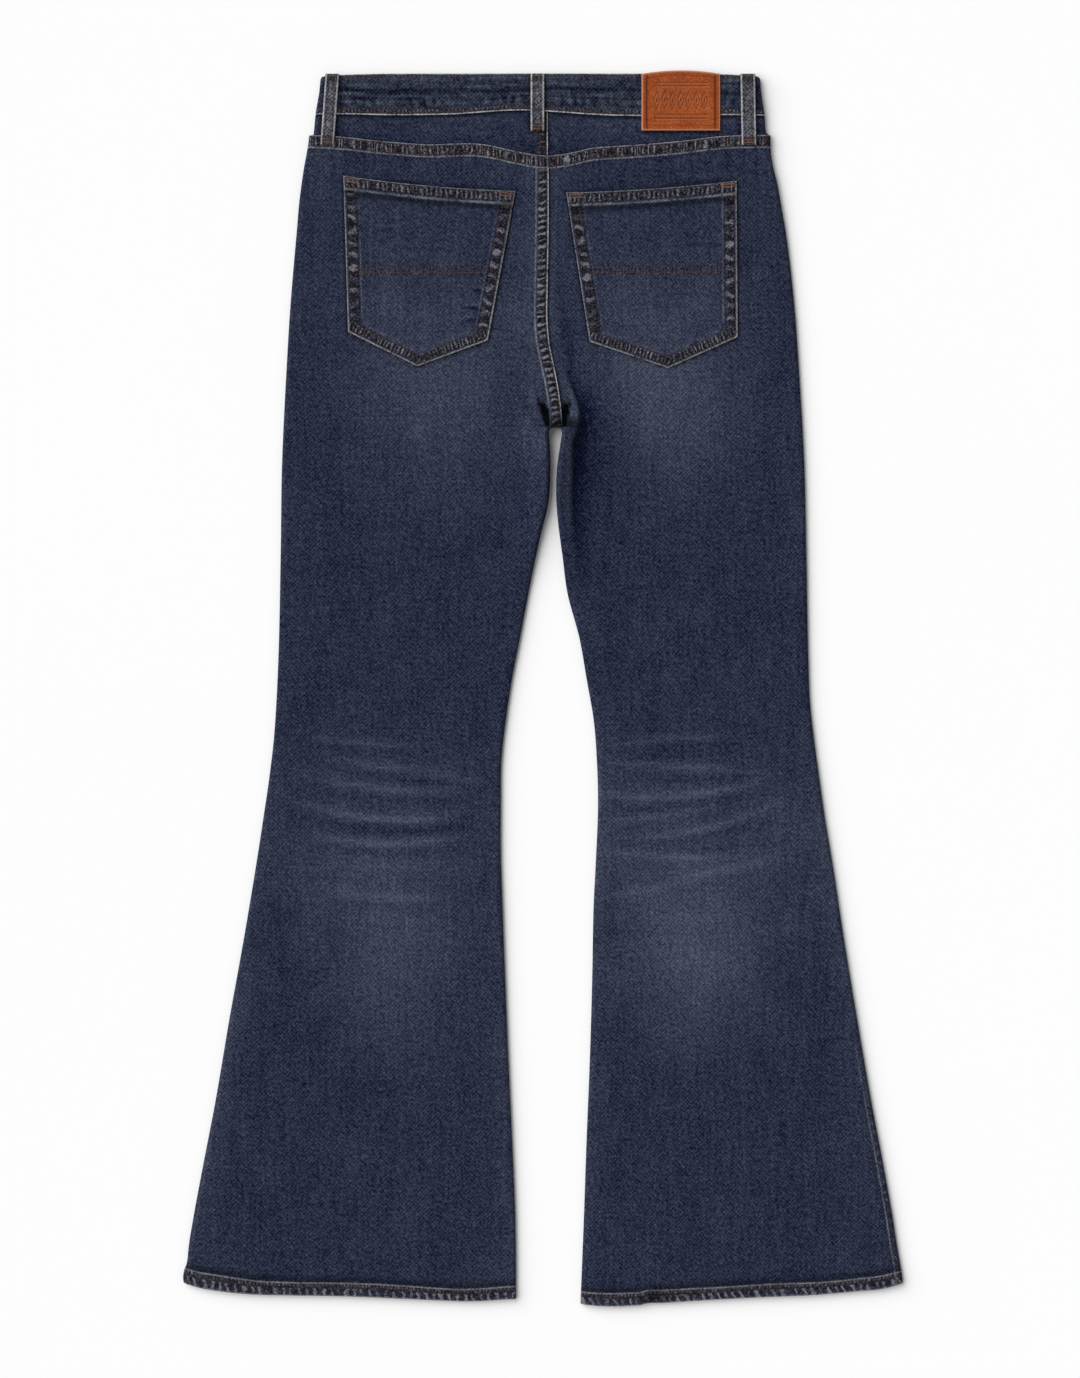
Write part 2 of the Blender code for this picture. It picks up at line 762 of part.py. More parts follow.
def on_waist(across, down):
    """Height of what lies on the back of the waistband, the yoke or the yoke seam."""
    side = RIGHT if across > 0 else LEFT
    flat = edge_profile(edge_distance(side, across, down))
    rise = BAND_PROUD if down <= band_line(across) + STEP_OVER + 0.1 else SEAM_RISE
    return middle_height(across, down) + (HALF_HEIGHT + rise) * flat + SEAM_GAP


def back_loop(shape):
    """Belt loop on the back, standing a little off the waistband between its tacked ends."""
    top = WAIST_TOP + LOOP_INSET
    low_edge = band_line(shape.low_across)
    levels = [top, top + 4.0, top + 12.0, top + 20.0, top + 28.0]
    levels += [low_edge + STEP_OVER, low_edge + STEP_DOWN]
    levels += [shape.low_down - 5.0, shape.low_down]
    points = []
    for down in levels:
        share = (down - top) / (shape.low_down - top)
        middle = shape.top_across + (shape.low_across - shape.top_across) * share
        stand = LOOP_STAND * math.sin(math.pi * min((down - top) / (low_edge - top), 1.0))
        point_row = []
        for beside in (-0.5, -0.17, 0.17, 0.5):
            across = middle + beside * LOOP_WIDTH
            point_row.append(place(across, down, on_waist(across, down) + max(stand, 0.0)))
        points.append(point_row)
    weights = [[LOOP_WALL] * len(points[0]) for _ in points]
    return cloth_sheet(shape.name, points, weights, 1.0, True)


def front_loop(name, across):
    """Belt loop pressed flat under the front of the waist."""
    top, low = band_edges(across)
    start = top + front_dip(across) + LOOP_INSET
    end = low + front_dip(across) + FRONT_LOOP_TAIL
    points = []
    for row in range(5):
        down = start + (end - start) * row / 4.0
        points.append([place(across + beside * LOOP_WIDTH, down, LOOP_WALL)
                       for beside in (-0.5, 0.5)])
    weights = [[LOOP_WALL] * 2 for _ in points]
    return cloth_sheet(name, points, weights, 1.0, False)


def leather_patch():
    """Leather patch over the waistband and the top of the yoke, its top edge bowed up."""
    points = []
    for row in range(8):
        point_row = []
        for column in range(7):
            share = column / 6.0
            across = PATCH_LEFT + (PATCH_RIGHT - PATCH_LEFT) * share
            top = PATCH_CORNER * (2.0 * share - 1.0) ** 2
            low_edge = band_line(across)
            levels = (top, top + 9.0, top + 19.0, top + 29.0, low_edge + STEP_OVER,
                      low_edge + STEP_DOWN, PATCH_BOTTOM - 4.0, PATCH_BOTTOM)
            down = levels[row]
            rise = BAND_PROUD if row <= 4 else 0.0
            height = back_height(across, down) + rise + SEAM_GAP
            point_row.append(place(across, down, height))
        points.append(point_row)
    weights = [[PATCH_WALL] * 7 for _ in points]
    return cloth_sheet("leather_patch", points, weights, 1.0, True)


def mixed(start, end, share):
    """Point between two (across, down) pairs."""
    return tuple(a + (b - a) * share for a, b in zip(start, end))


def pocket_place(shape, share, row):
    """Across and down of a place on a pocket, by its shares across and down."""
    top = mixed(mixed(shape.top_left, shape.top_middle, share),
                mixed(shape.top_middle, shape.top_right, share), share)
    middle = POCKET_ACROSS[len(POCKET_ACROSS) // 2]
    if share <= middle:
        bottom = mixed(shape.low_left, shape.tip, share / middle)
    else:
        bottom = mixed(shape.tip, shape.low_right, (share - middle) / (1.0 - middle))
    return mixed(top, bottom, row)


def back_pocket(shape):
    """Patch pocket with a turned top hem and turned margins."""
    points = []
    weights = []
    inner_rows = (POCKET_DOWN[2], POCKET_DOWN[-3])
    inner_columns = (POCKET_ACROSS[2], POCKET_ACROSS[-3])
    for row in POCKET_DOWN:
        point_row = []
        weight_row = []
        for share in POCKET_ACROSS:
            across, down = pocket_place(shape, share, row)
            in_middle = inner_columns[0] <= share <= inner_columns[1]
            in_middle = in_middle and inner_rows[0] <= row <= inner_rows[1]
            rise = 0.0 if in_middle else POCKET_RISE
            point_row.append(place(across, down, back_height(across, down) + SEAM_GAP))
            weight_row.append(POCKET_WALL + rise)
        points.append(point_row)
        weights.append(weight_row)
    return cloth_sheet(shape.name, points, weights, 1.0, True)


def zip_tape():
    """Zip tape with its closed chain, on the inside of the fly."""
    stations = (-ZIP_HALF_WIDTH, -CHAIN_HALF_WIDTH - 0.3, -CHAIN_HALF_WIDTH, CHAIN_HALF_WIDTH,
                CHAIN_HALF_WIDTH + 0.3, ZIP_HALF_WIDTH)
    points = []
    weights = []
    for row in range(9):
        down = ZIP_TOP + (ZIP_BOTTOM - ZIP_TOP) * row / 8.0
        middle = seam_curves["front"](down)
        point_row = []
        weight_row = []
        for beside in stations:
            across = middle + beside
            height = front_height(across, down) + WALL + SEAM_GAP
            point_row.append(place(across, down, height))
            in_chain = abs(beside) <= CHAIN_HALF_WIDTH
            weight_row.append(CHAIN_WALL if in_chain else TAPE_WALL)
        points.append(point_row)
        weights.append(weight_row)
    return cloth_sheet("zip", points, weights, 1.0, True)


def zip_slider():
    """Slider at the top of the closed chain."""
    down = ZIP_TOP - SEAM_GAP - SLIDER_SIZE[1] / 2.0
    across = seam_curves["front"](down)
    height = front_height(0.0, LIFT_FULL_DOWN) + WALL + SEAM_GAP + SLIDER_SIZE[2] / 2.0
    bpy.ops.mesh.primitive_cube_add(size=1.0, location=place(across, down, height))
    slider = bpy.context.active_object
    slider.name = "zip_slider"
    slider.scale = tuple(size * MM for size in SLIDER_SIZE)
    bpy.ops.object.transform_apply(location=False, rotation=False, scale=True)
    rounding = slider.modifiers.new("rounding", "BEVEL")
    rounding.width = SLIDER_BEVEL * MM
    rounding.segments = 2
    move_to_parts(slider)
    return slider


def button():
    """Domed button under the lap of the waistband."""
    bpy.ops.mesh.primitive_cylinder_add(
        vertices=BUTTON_SEGMENTS, radius=BUTTON_RADIUS * MM, depth=BUTTON_HEIGHT * MM,
        location=place(BUTTON_ACROSS, BUTTON_DOWN, BUTTON_HEIGHT / 2.0))
    cap = bpy.context.active_object
    cap.name = "button"
    rounding = cap.modifiers.new("rounding", "BEVEL")
    rounding.width = SLIDER_BEVEL * MM
    rounding.segments = 2
    move_to_parts(cap)
    return cap


def move_to_parts(piece):
    """Keep a primitive in the object's collection only."""
    for collection in list(piece.users_collection):
        collection.objects.unlink(piece)
    parts.objects.link(piece)


def dress(pieces, name, roughness, metallic):
    """Give each piece a material of its own, in one colour."""
    for piece in pieces:
        piece.data.materials.clear()
        piece.data.materials.append(coloured(name, piece.name, roughness, metallic))


for old_object in list(bpy.data.objects):
    bpy.data.objects.remove(old_object, do_unlink=True)
parts = bpy.data.collections.new(OBJECT_NAME)
bpy.context.scene.collection.children.link(parts)

denim = [
    back_panel(LEFT, "back_panel_left"),
    back_panel(RIGHT, "back_panel_right"),
    front_panel(LEFT, "front_panel_left"),
    front_panel(RIGHT, "front_panel_right"),
    yoke(LEFT, "yoke_left"),
    yoke(RIGHT, "yoke_right"),
    *[back_pocket(shape) for shape in POCKETS],
    front_pocket_facing(LEFT, "front_pocket_facing_left"),
    front_pocket_facing(RIGHT, "front_pocket_facing_right"),
]
loops = [back_loop(shape) for shape in BACK_LOOPS]
loops += [front_loop("belt_loop_front_left", -FRONT_LOOP_ACROSS)]
loops += [front_loop("belt_loop_front_right", FRONT_LOOP_ACROSS)]
dress(denim, "denim", 0.9, 0.0)
dress([waistband()], "waistband_denim", 0.9, 0.0)
dress(loops, "loop_denim", 0.9, 0.0)
dress([leather_patch()], "leather", 0.55, 0.0)
dress([zip_tape()], "zip_tape", 0.85, 0.0)
dress([zip_slider()], "brass", 0.35, 1.0)
dress([button()], "copper", 0.35, 1.0)
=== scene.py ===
"""Flared jeans, laid flat with the back side up: cloth, thread, leather, metal and studio.

Lengths in the tables are millimetres. "down" is measured from the top of the waist towards the
hems, "across" from the middle of the garment towards its right side as it is seen from above.
"""

import logging
import math
from dataclasses import dataclass, field
from enum import Enum
from functools import reduce
from typing import Callable, ClassVar, NamedTuple, Optional, Sequence

import bmesh
import bpy
import numpy as np
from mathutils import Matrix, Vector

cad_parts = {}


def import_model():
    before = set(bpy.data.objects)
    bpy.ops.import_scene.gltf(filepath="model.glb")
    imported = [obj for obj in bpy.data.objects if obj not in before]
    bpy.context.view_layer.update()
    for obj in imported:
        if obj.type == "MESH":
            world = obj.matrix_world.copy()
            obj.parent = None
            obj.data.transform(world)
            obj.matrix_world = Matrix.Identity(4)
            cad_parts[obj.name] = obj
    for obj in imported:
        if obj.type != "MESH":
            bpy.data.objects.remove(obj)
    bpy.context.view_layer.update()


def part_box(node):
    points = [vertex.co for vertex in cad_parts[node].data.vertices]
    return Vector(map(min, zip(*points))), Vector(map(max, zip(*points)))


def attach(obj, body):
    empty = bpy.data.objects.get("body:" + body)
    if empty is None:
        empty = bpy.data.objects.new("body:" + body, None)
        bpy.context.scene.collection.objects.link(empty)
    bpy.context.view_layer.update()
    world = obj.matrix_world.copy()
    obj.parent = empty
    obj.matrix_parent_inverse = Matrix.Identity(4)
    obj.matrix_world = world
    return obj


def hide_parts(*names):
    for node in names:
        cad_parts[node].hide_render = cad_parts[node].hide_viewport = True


MM = 0.001
log = logging.getLogger("jeans")

Array = np.ndarray
Number = Array | float
Point = tuple[float, float]
Surface = Callable[[Array, Array], Array]
Socket = bpy.types.NodeSocket
Colour = tuple[float, float, float]


class Side(Enum):
    """Half of the garment as it is seen from above."""

    LEFT = -1
    RIGHT = 1

    @property
    def word(self) -> str:
        """The side's word in the names of nodes."""
        return self.name.lower()

    @property
    def column(self) -> int:
        """The side's column in the draft's tables."""
        return 1 if self is Side.LEFT else 2


class Face(Enum):
    """Which way a cloth piece looks, with its column in the table of centre seams."""

    BACK = 1
    FRONT = 2


# Lines of the garment


class Line:
    """Smooth curve through a short table, held level past its ends."""

    def __init__(self, rows: Sequence[Sequence[float]], value: int = 1) -> None:
        """Read one column of a table against the first.

        Args:
            rows: The table's rows.
            value: Column that the curve gives.
        """
        table = np.array(rows, dtype=float)
        self.keys = table[:, 0]
        self.values = table[:, value]
        self.slopes = np.gradient(self.values, self.keys)

    def __call__(self, key: Number) -> Array:
        """Give the curve's value.

        Args:
            key: One place or an array of places along the curve.

        Returns:
            The values, in an array of the same shape.
        """
        at = np.clip(np.asarray(key, dtype=float), self.keys[0], self.keys[-1])
        index = np.clip(np.searchsorted(self.keys, at, side="right") - 1, 0, len(self.keys) - 2)
        span = self.keys[index + 1] - self.keys[index]
        t = (at - self.keys[index]) / span
        start = (1 + 2 * t) * (1 - t) ** 2 * self.values[index]
        end = t * t * (3 - 2 * t) * self.values[index + 1]
        leave = t * (1 - t) ** 2 * span * self.slopes[index]
        arrive = t * t * (t - 1) * span * self.slopes[index + 1]
        return start + end + leave + arrive


def ease(share: Number) -> Array:
    """Ease from 0 to 1 with level ends."""
    t = np.clip(share, 0.0, 1.0)
    return t * t * (3 - 2 * t)


def bell(distance: Number, reach: float) -> Array:
    """Bell of height 1 that fades over a reach."""
    return np.exp(-((np.asarray(distance) / reach) ** 2))


@dataclass(frozen=True)
class Draft:
    """Lines and heights of the whole garment, in millimetres."""

    full_length: float = 1154.4
    half_height: float = 3.0
    edge_round: float = 4.5
    seam_gap: float = 0.3
    front_gap: float = 0.4
    wall: float = 1.2
    hem_wall: float = 2.2
    band_depth: float = 36.5
    band_proud: float = 0.7
    step_start: float = 1.4
    step_run: float = 4.1
    seam_rise: float = 0.8
    hem_rise: float = 0.8
    yoke_band: float = 12.0
    seat_band: float = 12.3
    seat_band_low: float = 11.8
    seat_narrows_at: float = 255.0
    seat_narrows_over: float = 55.0
    hem_band: float = 12.0
    crotch_across: float = 10.7
    crotch_down: float = 339.0
    crotch_radius: float = 6.07
    swell_height: float = 9.2
    swell_crotch: float = 3.4
    swell_crotch_down: float = 342.0
    swell_crotch_reach: float = 26.0
    swell_reach: float = 16.0
    swell_start: float = 317.0
    swell_rise_run: float = 15.0
    swell_end: float = 500.0
    swell_run: float = 130.0
    loop_lift: float = 1.8
    button_lift: float = 1.2
    button_lift_width: float = 45.0
    lift_full_down: float = 75.0
    lift_end_down: float = 190.0
    front_dip: float = 30.0
    waist_top: float = 2.8
    waist_corner: float = 2.6
    waist_middle: float = -3.0
    waist_half: float = 204.0
    scoop_depth: float = 75.0
    scoop_share: float = 0.5
    yoke_level: float = 61.0
    hem_level: float = 1147.0
    scoop_level: float = 42.0
    fly_across: float = -1.5
    fly_width: float = 36.0
    fly_bend: float = 110.0
    fly_foot: float = 62.0
    # down, left, right
    outline: tuple[tuple[float, float, float], ...] = (
        (5, -207.6, 200.4), (6.5, -208.4, 201.6), (12, -209.2, 202.0), (20, -210.0, 203.0),
        (27, -211.2, 204.0), (38, -213.0, 205.6), (46, -214.0, 206.3), (55, -214.8, 206.8),
        (59.2, -215.4, 207.6), (59.7, -215.6, 207.7), (60.1, -219.0, 211.4), (60.6, -219.2, 211.5),
        (66, -219.9, 211.4), (74, -221.2, 211.7), (88, -223.8, 213.7), (102, -226.0, 217.2),
        (120, -228.4, 220.6), (149, -231.0, 225.6), (214, -236.6, 233.4), (289, -241.2, 238.8),
        (363, -244.7, 243.0), (457, -246.2, 245.2), (550, -248.3, 247.0), (588, -250.0, 248.4),
        (625, -252.6, 252.4), (662, -257.0, 257.4), (700, -262.6, 262.8), (737, -268.3, 269.0),
        (812, -280.8, 280.4), (886, -294.1, 292.6), (961, -306.8, 305.5), (1036, -321.2, 319.6),
        (1073, -328.0, 326.1), (1101, -332.4, 330.4), (1110, -333.2, 332.0), (1115, -334.2, 332.9),
        (1119, -335.9, 333.6), (1124, -337.0, 334.5), (1129, -337.2, 335.0), (1133, -336.4, 335.2),
    )
    # down, left, right
    inseam: tuple[tuple[float, float, float], ...] = (
        (339.0, 4.63, 16.77), (350, 5.5, 15.0), (373, 6.0, 12.0), (410, 3.0, 12.0), (425, -0.9, 13.5),
        (455, -7.8, 17.5), (485, -14.0, 21.4), (531, -22.7, 33.4), (569, -30.1, 40.0),
        (606, -35.6, 46.4), (644, -39.8, 49.4), (681, -40.4, 50.5), (737, -40.3, 48.5),
        (774, -39.0, 46.6), (849, -36.3, 45.0), (924, -33.3, 42.8), (998, -29.9, 39.8),
        (1073, -26.9, 37.2), (1148, -26.2, 34.2),
    )
    # down, seat seam, centre front seam
    centre_seams: tuple[tuple[float, float, float], ...] = (
        (38, 0.2, -2.0), (58, 1.6, -1.9), (78, 3.7, -1.8), (125, 4.6, -1.5), (165, 4.3, -0.8),
        (200, 3.6, 0.0), (236, 3.6, 1.5), (256, 5.6, 2.8), (275, 9.5, 4.5), (295, 13.4, 6.6),
        (313, 16.0, 8.5), (322, 16.8, 9.5), (332.93, 17.4, 10.7),
    )
    # across, down
    yoke_seam: tuple[Point, ...] = (
        (-220, 59.7), (-190, 61.4), (-160, 64.7), (-130, 67.3), (-106, 68.7), (-86, 68.0), (-66, 67.7),
        (-50, 69.6), (-34, 73.3), (-20, 76.3), (-8, 78.4), (4, 79.2), (16, 78.0), (28, 75.9),
        (44, 72.1), (64, 70.4), (90, 68.7), (112, 66.9), (136, 64.5), (152, 62.3), (170, 60.7),
        (214, 59.7),
    )
    # across, down
    band_seam: tuple[Point, ...] = (
        (-216, 40.7), (-185, 40.7), (-150, 41.5), (-105, 41.3), (-80, 40.6), (-60, 39.1), (-40, 37.7),
        (-20, 37.2), (-4, 37.8), (12, 38.8), (40, 40.8), (60, 41.8), (90, 42.3), (130, 42.2),
        (168, 41.5), (209, 42.0),
    )
    # across, down
    hem_edge: tuple[Point, ...] = (
        (-336, 1132.2), (-323, 1136.2), (-301, 1139.9), (-272, 1142.6), (-245, 1143.4), (-189, 1144.3),
        (-110, 1147.6), (-70, 1149.0), (-25, 1147.0), (34, 1151.6), (46, 1153.0), (64, 1153.8),
        (84, 1153.0), (90, 1152.6), (95, 1151.1), (110, 1150.6), (136, 1148.9), (204, 1145.2),
        (248, 1143.4), (293, 1139.6), (316, 1137.4), (336, 1132.0),
    )
    # across, how much deeper the hem's band is there
    hem_uneven: tuple[Point, ...] = (
        (-336, 1.6), (-312, 2.5), (-290, 1.9), (-266, 0.4), (-245, 0.0), (-130, -0.1), (-95, -1.2),
        (-60, -0.9), (-25, -0.3), (34, -0.8), (62, -0.2), (86, -0.3), (120, -0.4), (170, -1.0),
        (226, -0.3), (268, -1.0), (300, -0.4), (320, 0.1), (336, -0.8),
    )

    @property
    def crotch_top(self) -> float:
        """Level of the top of the arch between the legs."""
        return self.crotch_down - self.crotch_radius

    def outer(self, side: Side, down: Number) -> Array:
        """Across of the silhouette's outer edge."""
        return Line(self.outline, side.column)(down)

    def leg(self, side: Side, down: Number) -> Array:
        """Across of a leg's inseam."""
        return Line(self.inseam, side.column)(down)

    def yoke_line(self, across: Number) -> Array:
        """Level of the seam between the yoke and the back panels."""
        return Line(self.yoke_seam)(across)

    def band_line(self, across: Number) -> Array:
        """Level of the waistband's lower edge on the back."""
        return Line(self.band_seam)(across)

    def hem_line(self, across: Number) -> Array:
        """Level of the hems' lower edge."""
        return Line(self.hem_edge)(across)

    def hem_depth(self, across: Number, down: Array) -> Array:
        """Distance over the hems' lower edge, in the even hem's measure."""
        above = self.hem_line(across) - down
        return above - Line(self.hem_uneven)(across) * np.clip(above / self.hem_band, 0.0, 1.0)

    def hem_mask(self, above: Array) -> Array:
        """Mask of the turned hem from the distance over its lower edge."""
        return ease((self.hem_band + 0.35 - above) / 0.7)

    def felled(self, depth: Array, width: Number) -> Array:
        """Cross-section of a felled seam with its two sunk stitch rows.

        Args:
            depth: Distance into the seam from its edge.
            width: The seam's width.

        Returns:
            The rise over the panel.
        """
        pillow = 0.12 * bell(depth - width / 2, width / 3)
        rows = 0.2 * (bell(depth - 2.0, 0.8) + bell(depth - width + 2.0, 0.8))
        return ease((width + 0.35 - depth) / 0.7) * (self.seam_rise + pillow - rows)

    def step_off(self, below: Array) -> Array:
        """Share of the step down from the band, by the distance below its edge."""
        return ease((below - self.step_start) / self.step_run)

    def over_waist(self, across: Array, down: Array) -> Array:
        """Height of the band's back, or of the seams below it.

        Args:
            across: Places across the garment.
            down: Places down the garment.

        Returns:
            The heights.
        """
        sides = [self.flatness(side, across, down) for side in (Side.RIGHT, Side.LEFT)]
        on_band = down <= self.band_line(across) + 1.5
        rise = np.where(on_band, self.band_proud, self.seam_rise)
        flat = np.where(across > 0, *sides)
        return self.middle_height(across, down) + (self.half_height + rise) * flat

    def seam(self, face: Face, down: Number) -> Array:
        """Across of the seat seam or of the centre front seam."""
        return Line(self.centre_seams, face.value)(down)

    def inner(self, side: Side, face: Face, down: Number) -> Array:
        """Across of a panel's inner edge.

        Args:
            side: Half of the garment.
            face: Back or front panel.
            down: Levels.

        Returns:
            The centre seam above the crotch, then the crotch's arch, then the inseam.
        """
        down = np.asarray(down, dtype=float)
        rise = np.clip((self.crotch_down - down) / self.crotch_radius, 0.0, 1.0)
        reach = self.crotch_radius * (1 - rise**4) ** 0.25
        arch = self.crotch_across + side.value * np.maximum(reach, self.seam_gap / 2)
        seam = self.seam(face, down) + side.value * self.seam_gap / 2
        upper = np.where(down >= self.crotch_top, arch, seam)
        return np.where(down >= self.crotch_down, self.leg(side, down), upper)

    def edge_distance(self, side: Side, across: Array, down: Array) -> Array:
        """Measure how far places on one half lie inside the silhouette.

        Args:
            side: Half of the garment.
            across: Places across the garment.
            down: Places down the garment.

        Returns:
            The distances, 0 outside.
        """
        outer = side.value * (self.outer(side, down) - across)
        inner = side.value * (across - self.leg(side, down))
        arch = np.hypot(across - self.crotch_across, down - self.crotch_down)
        near = np.where(down > self.crotch_down, inner, arch - self.crotch_radius)
        return np.maximum(np.minimum(outer, near), 0.0)

    def flatness(self, side: Side, across: Array, down: Array) -> Array:
        """Quarter ellipse from 0 at the silhouette to 1 where the cloth lies level."""
        share = 1 - np.minimum(self.edge_distance(side, across, down) / self.edge_round, 1.0)
        return np.sqrt(np.maximum(1 - share * share, 0.0))

    def swell(self, across: Number, down: Number) -> Array:
        """Give how much thicker the legs lie beside the narrow gap below the crotch.

        Args:
            across: Places across the garment.
            down: Places down the garment.

        Returns:
            The growth of the whole thickness.
        """
        down = np.asarray(down)
        beside = np.maximum(self.leg(Side.LEFT, down) - across, across - self.leg(Side.RIGHT, down))
        start = ease((down - self.swell_start) / self.swell_rise_run)
        end = ease((self.swell_end - down) / self.swell_run)
        crotch = bell(down - self.swell_crotch_down, self.swell_crotch_reach)
        top = self.swell_height + self.swell_crotch * crotch
        return top * start * end * bell(np.maximum(beside, 0.0), self.swell_reach)

    def seat_width(self, down: Number) -> Array:
        """Width of the felled seat seam, narrower towards the crotch."""
        narrow = ease((np.asarray(down, dtype=float) - self.seat_narrows_at) / self.seat_narrows_over)
        return self.seat_band + (self.seat_band_low - self.seat_band) * narrow

    def front_height(self, across: Array, down: Array) -> Array:
        """Height of the front's outer face over the floor."""
        lift = ease((self.lift_end_down - down) / (self.lift_end_down - self.lift_full_down))
        return lift * (self.loop_lift + self.button_lift * bell(across, self.button_lift_width))

    def half(self, across: Array, down: Array) -> Array:
        """Half of the thickness that the garment has as it lies."""
        return self.half_height + self.swell(across, down) / 2

    def middle_height(self, across: Array, down: Array) -> Array:
        """Height of the silhouette's seam."""
        return self.front_height(across, down) + self.half(across, down)

    def back_height(self, across: Array, down: Array) -> Array:
        """Height of the back's outer face where it lies level."""
        return self.middle_height(across, down) + self.half(across, down)

    def dip(self, across: Number) -> Array:
        """How far the front's waist lies below the back's.

        Args:
            across: Places across the garment.

        Returns:
            The distances.
        """
        sides = [self.outer(side, self.scoop_level) for side in (Side.RIGHT, Side.LEFT)]
        share = np.asarray(across, dtype=float) / np.where(np.asarray(across) > 0, *sides)
        return self.front_dip * (1 - np.minimum(share**2, 1.0)) ** 2

    def waist_edge(self, across: Array) -> Array:
        """Level of the waistband's top edge on the back."""
        share = np.minimum(np.abs(across - self.waist_middle) / self.waist_half, 1.0)
        return self.waist_top + self.waist_corner * share**8

    def fly_edge(self, down: Array) -> Array:
        """Across of the outer stitch row of the fly, which curves in at its foot."""
        bend = np.sqrt(np.clip(1 - ((down - self.fly_bend) / self.fly_foot) ** 2, 0, 1))
        return self.fly_across - self.fly_width * np.where(down < self.fly_bend, 1.0, bend)

    def front_top(self, across: Array, share: Array) -> Array:
        """Level of the front panel's upper edge, with the pocket's scoop by the share of width."""
        scoop = self.scoop_depth * np.sqrt(np.maximum(1 - (share / self.scoop_share) ** 2, 0.0))
        return self.band_line(across) + self.dip(across) + self.front_gap + scoop

    def points(self, across: Array, down: Array, height: Array) -> Array:
        """Turn places in millimetres into points in metres."""
        length = (self.full_length / 2 - down) * MM
        return np.stack([across * MM, length, height * MM], axis=-1)


# Creases, fades, marks and painted shade


class Crease(NamedTuple):
    """A soft ridge (or trough, below 0) with the worn streak on it."""

    across: float
    down: float
    turn: float
    length: float
    width: float
    bend: float
    height: float
    fade: float


class Bloom(NamedTuple):
    """A broad faded place, or a darker one below 0."""

    across: float
    down: float
    reach_across: float
    reach_down: float
    fade: float


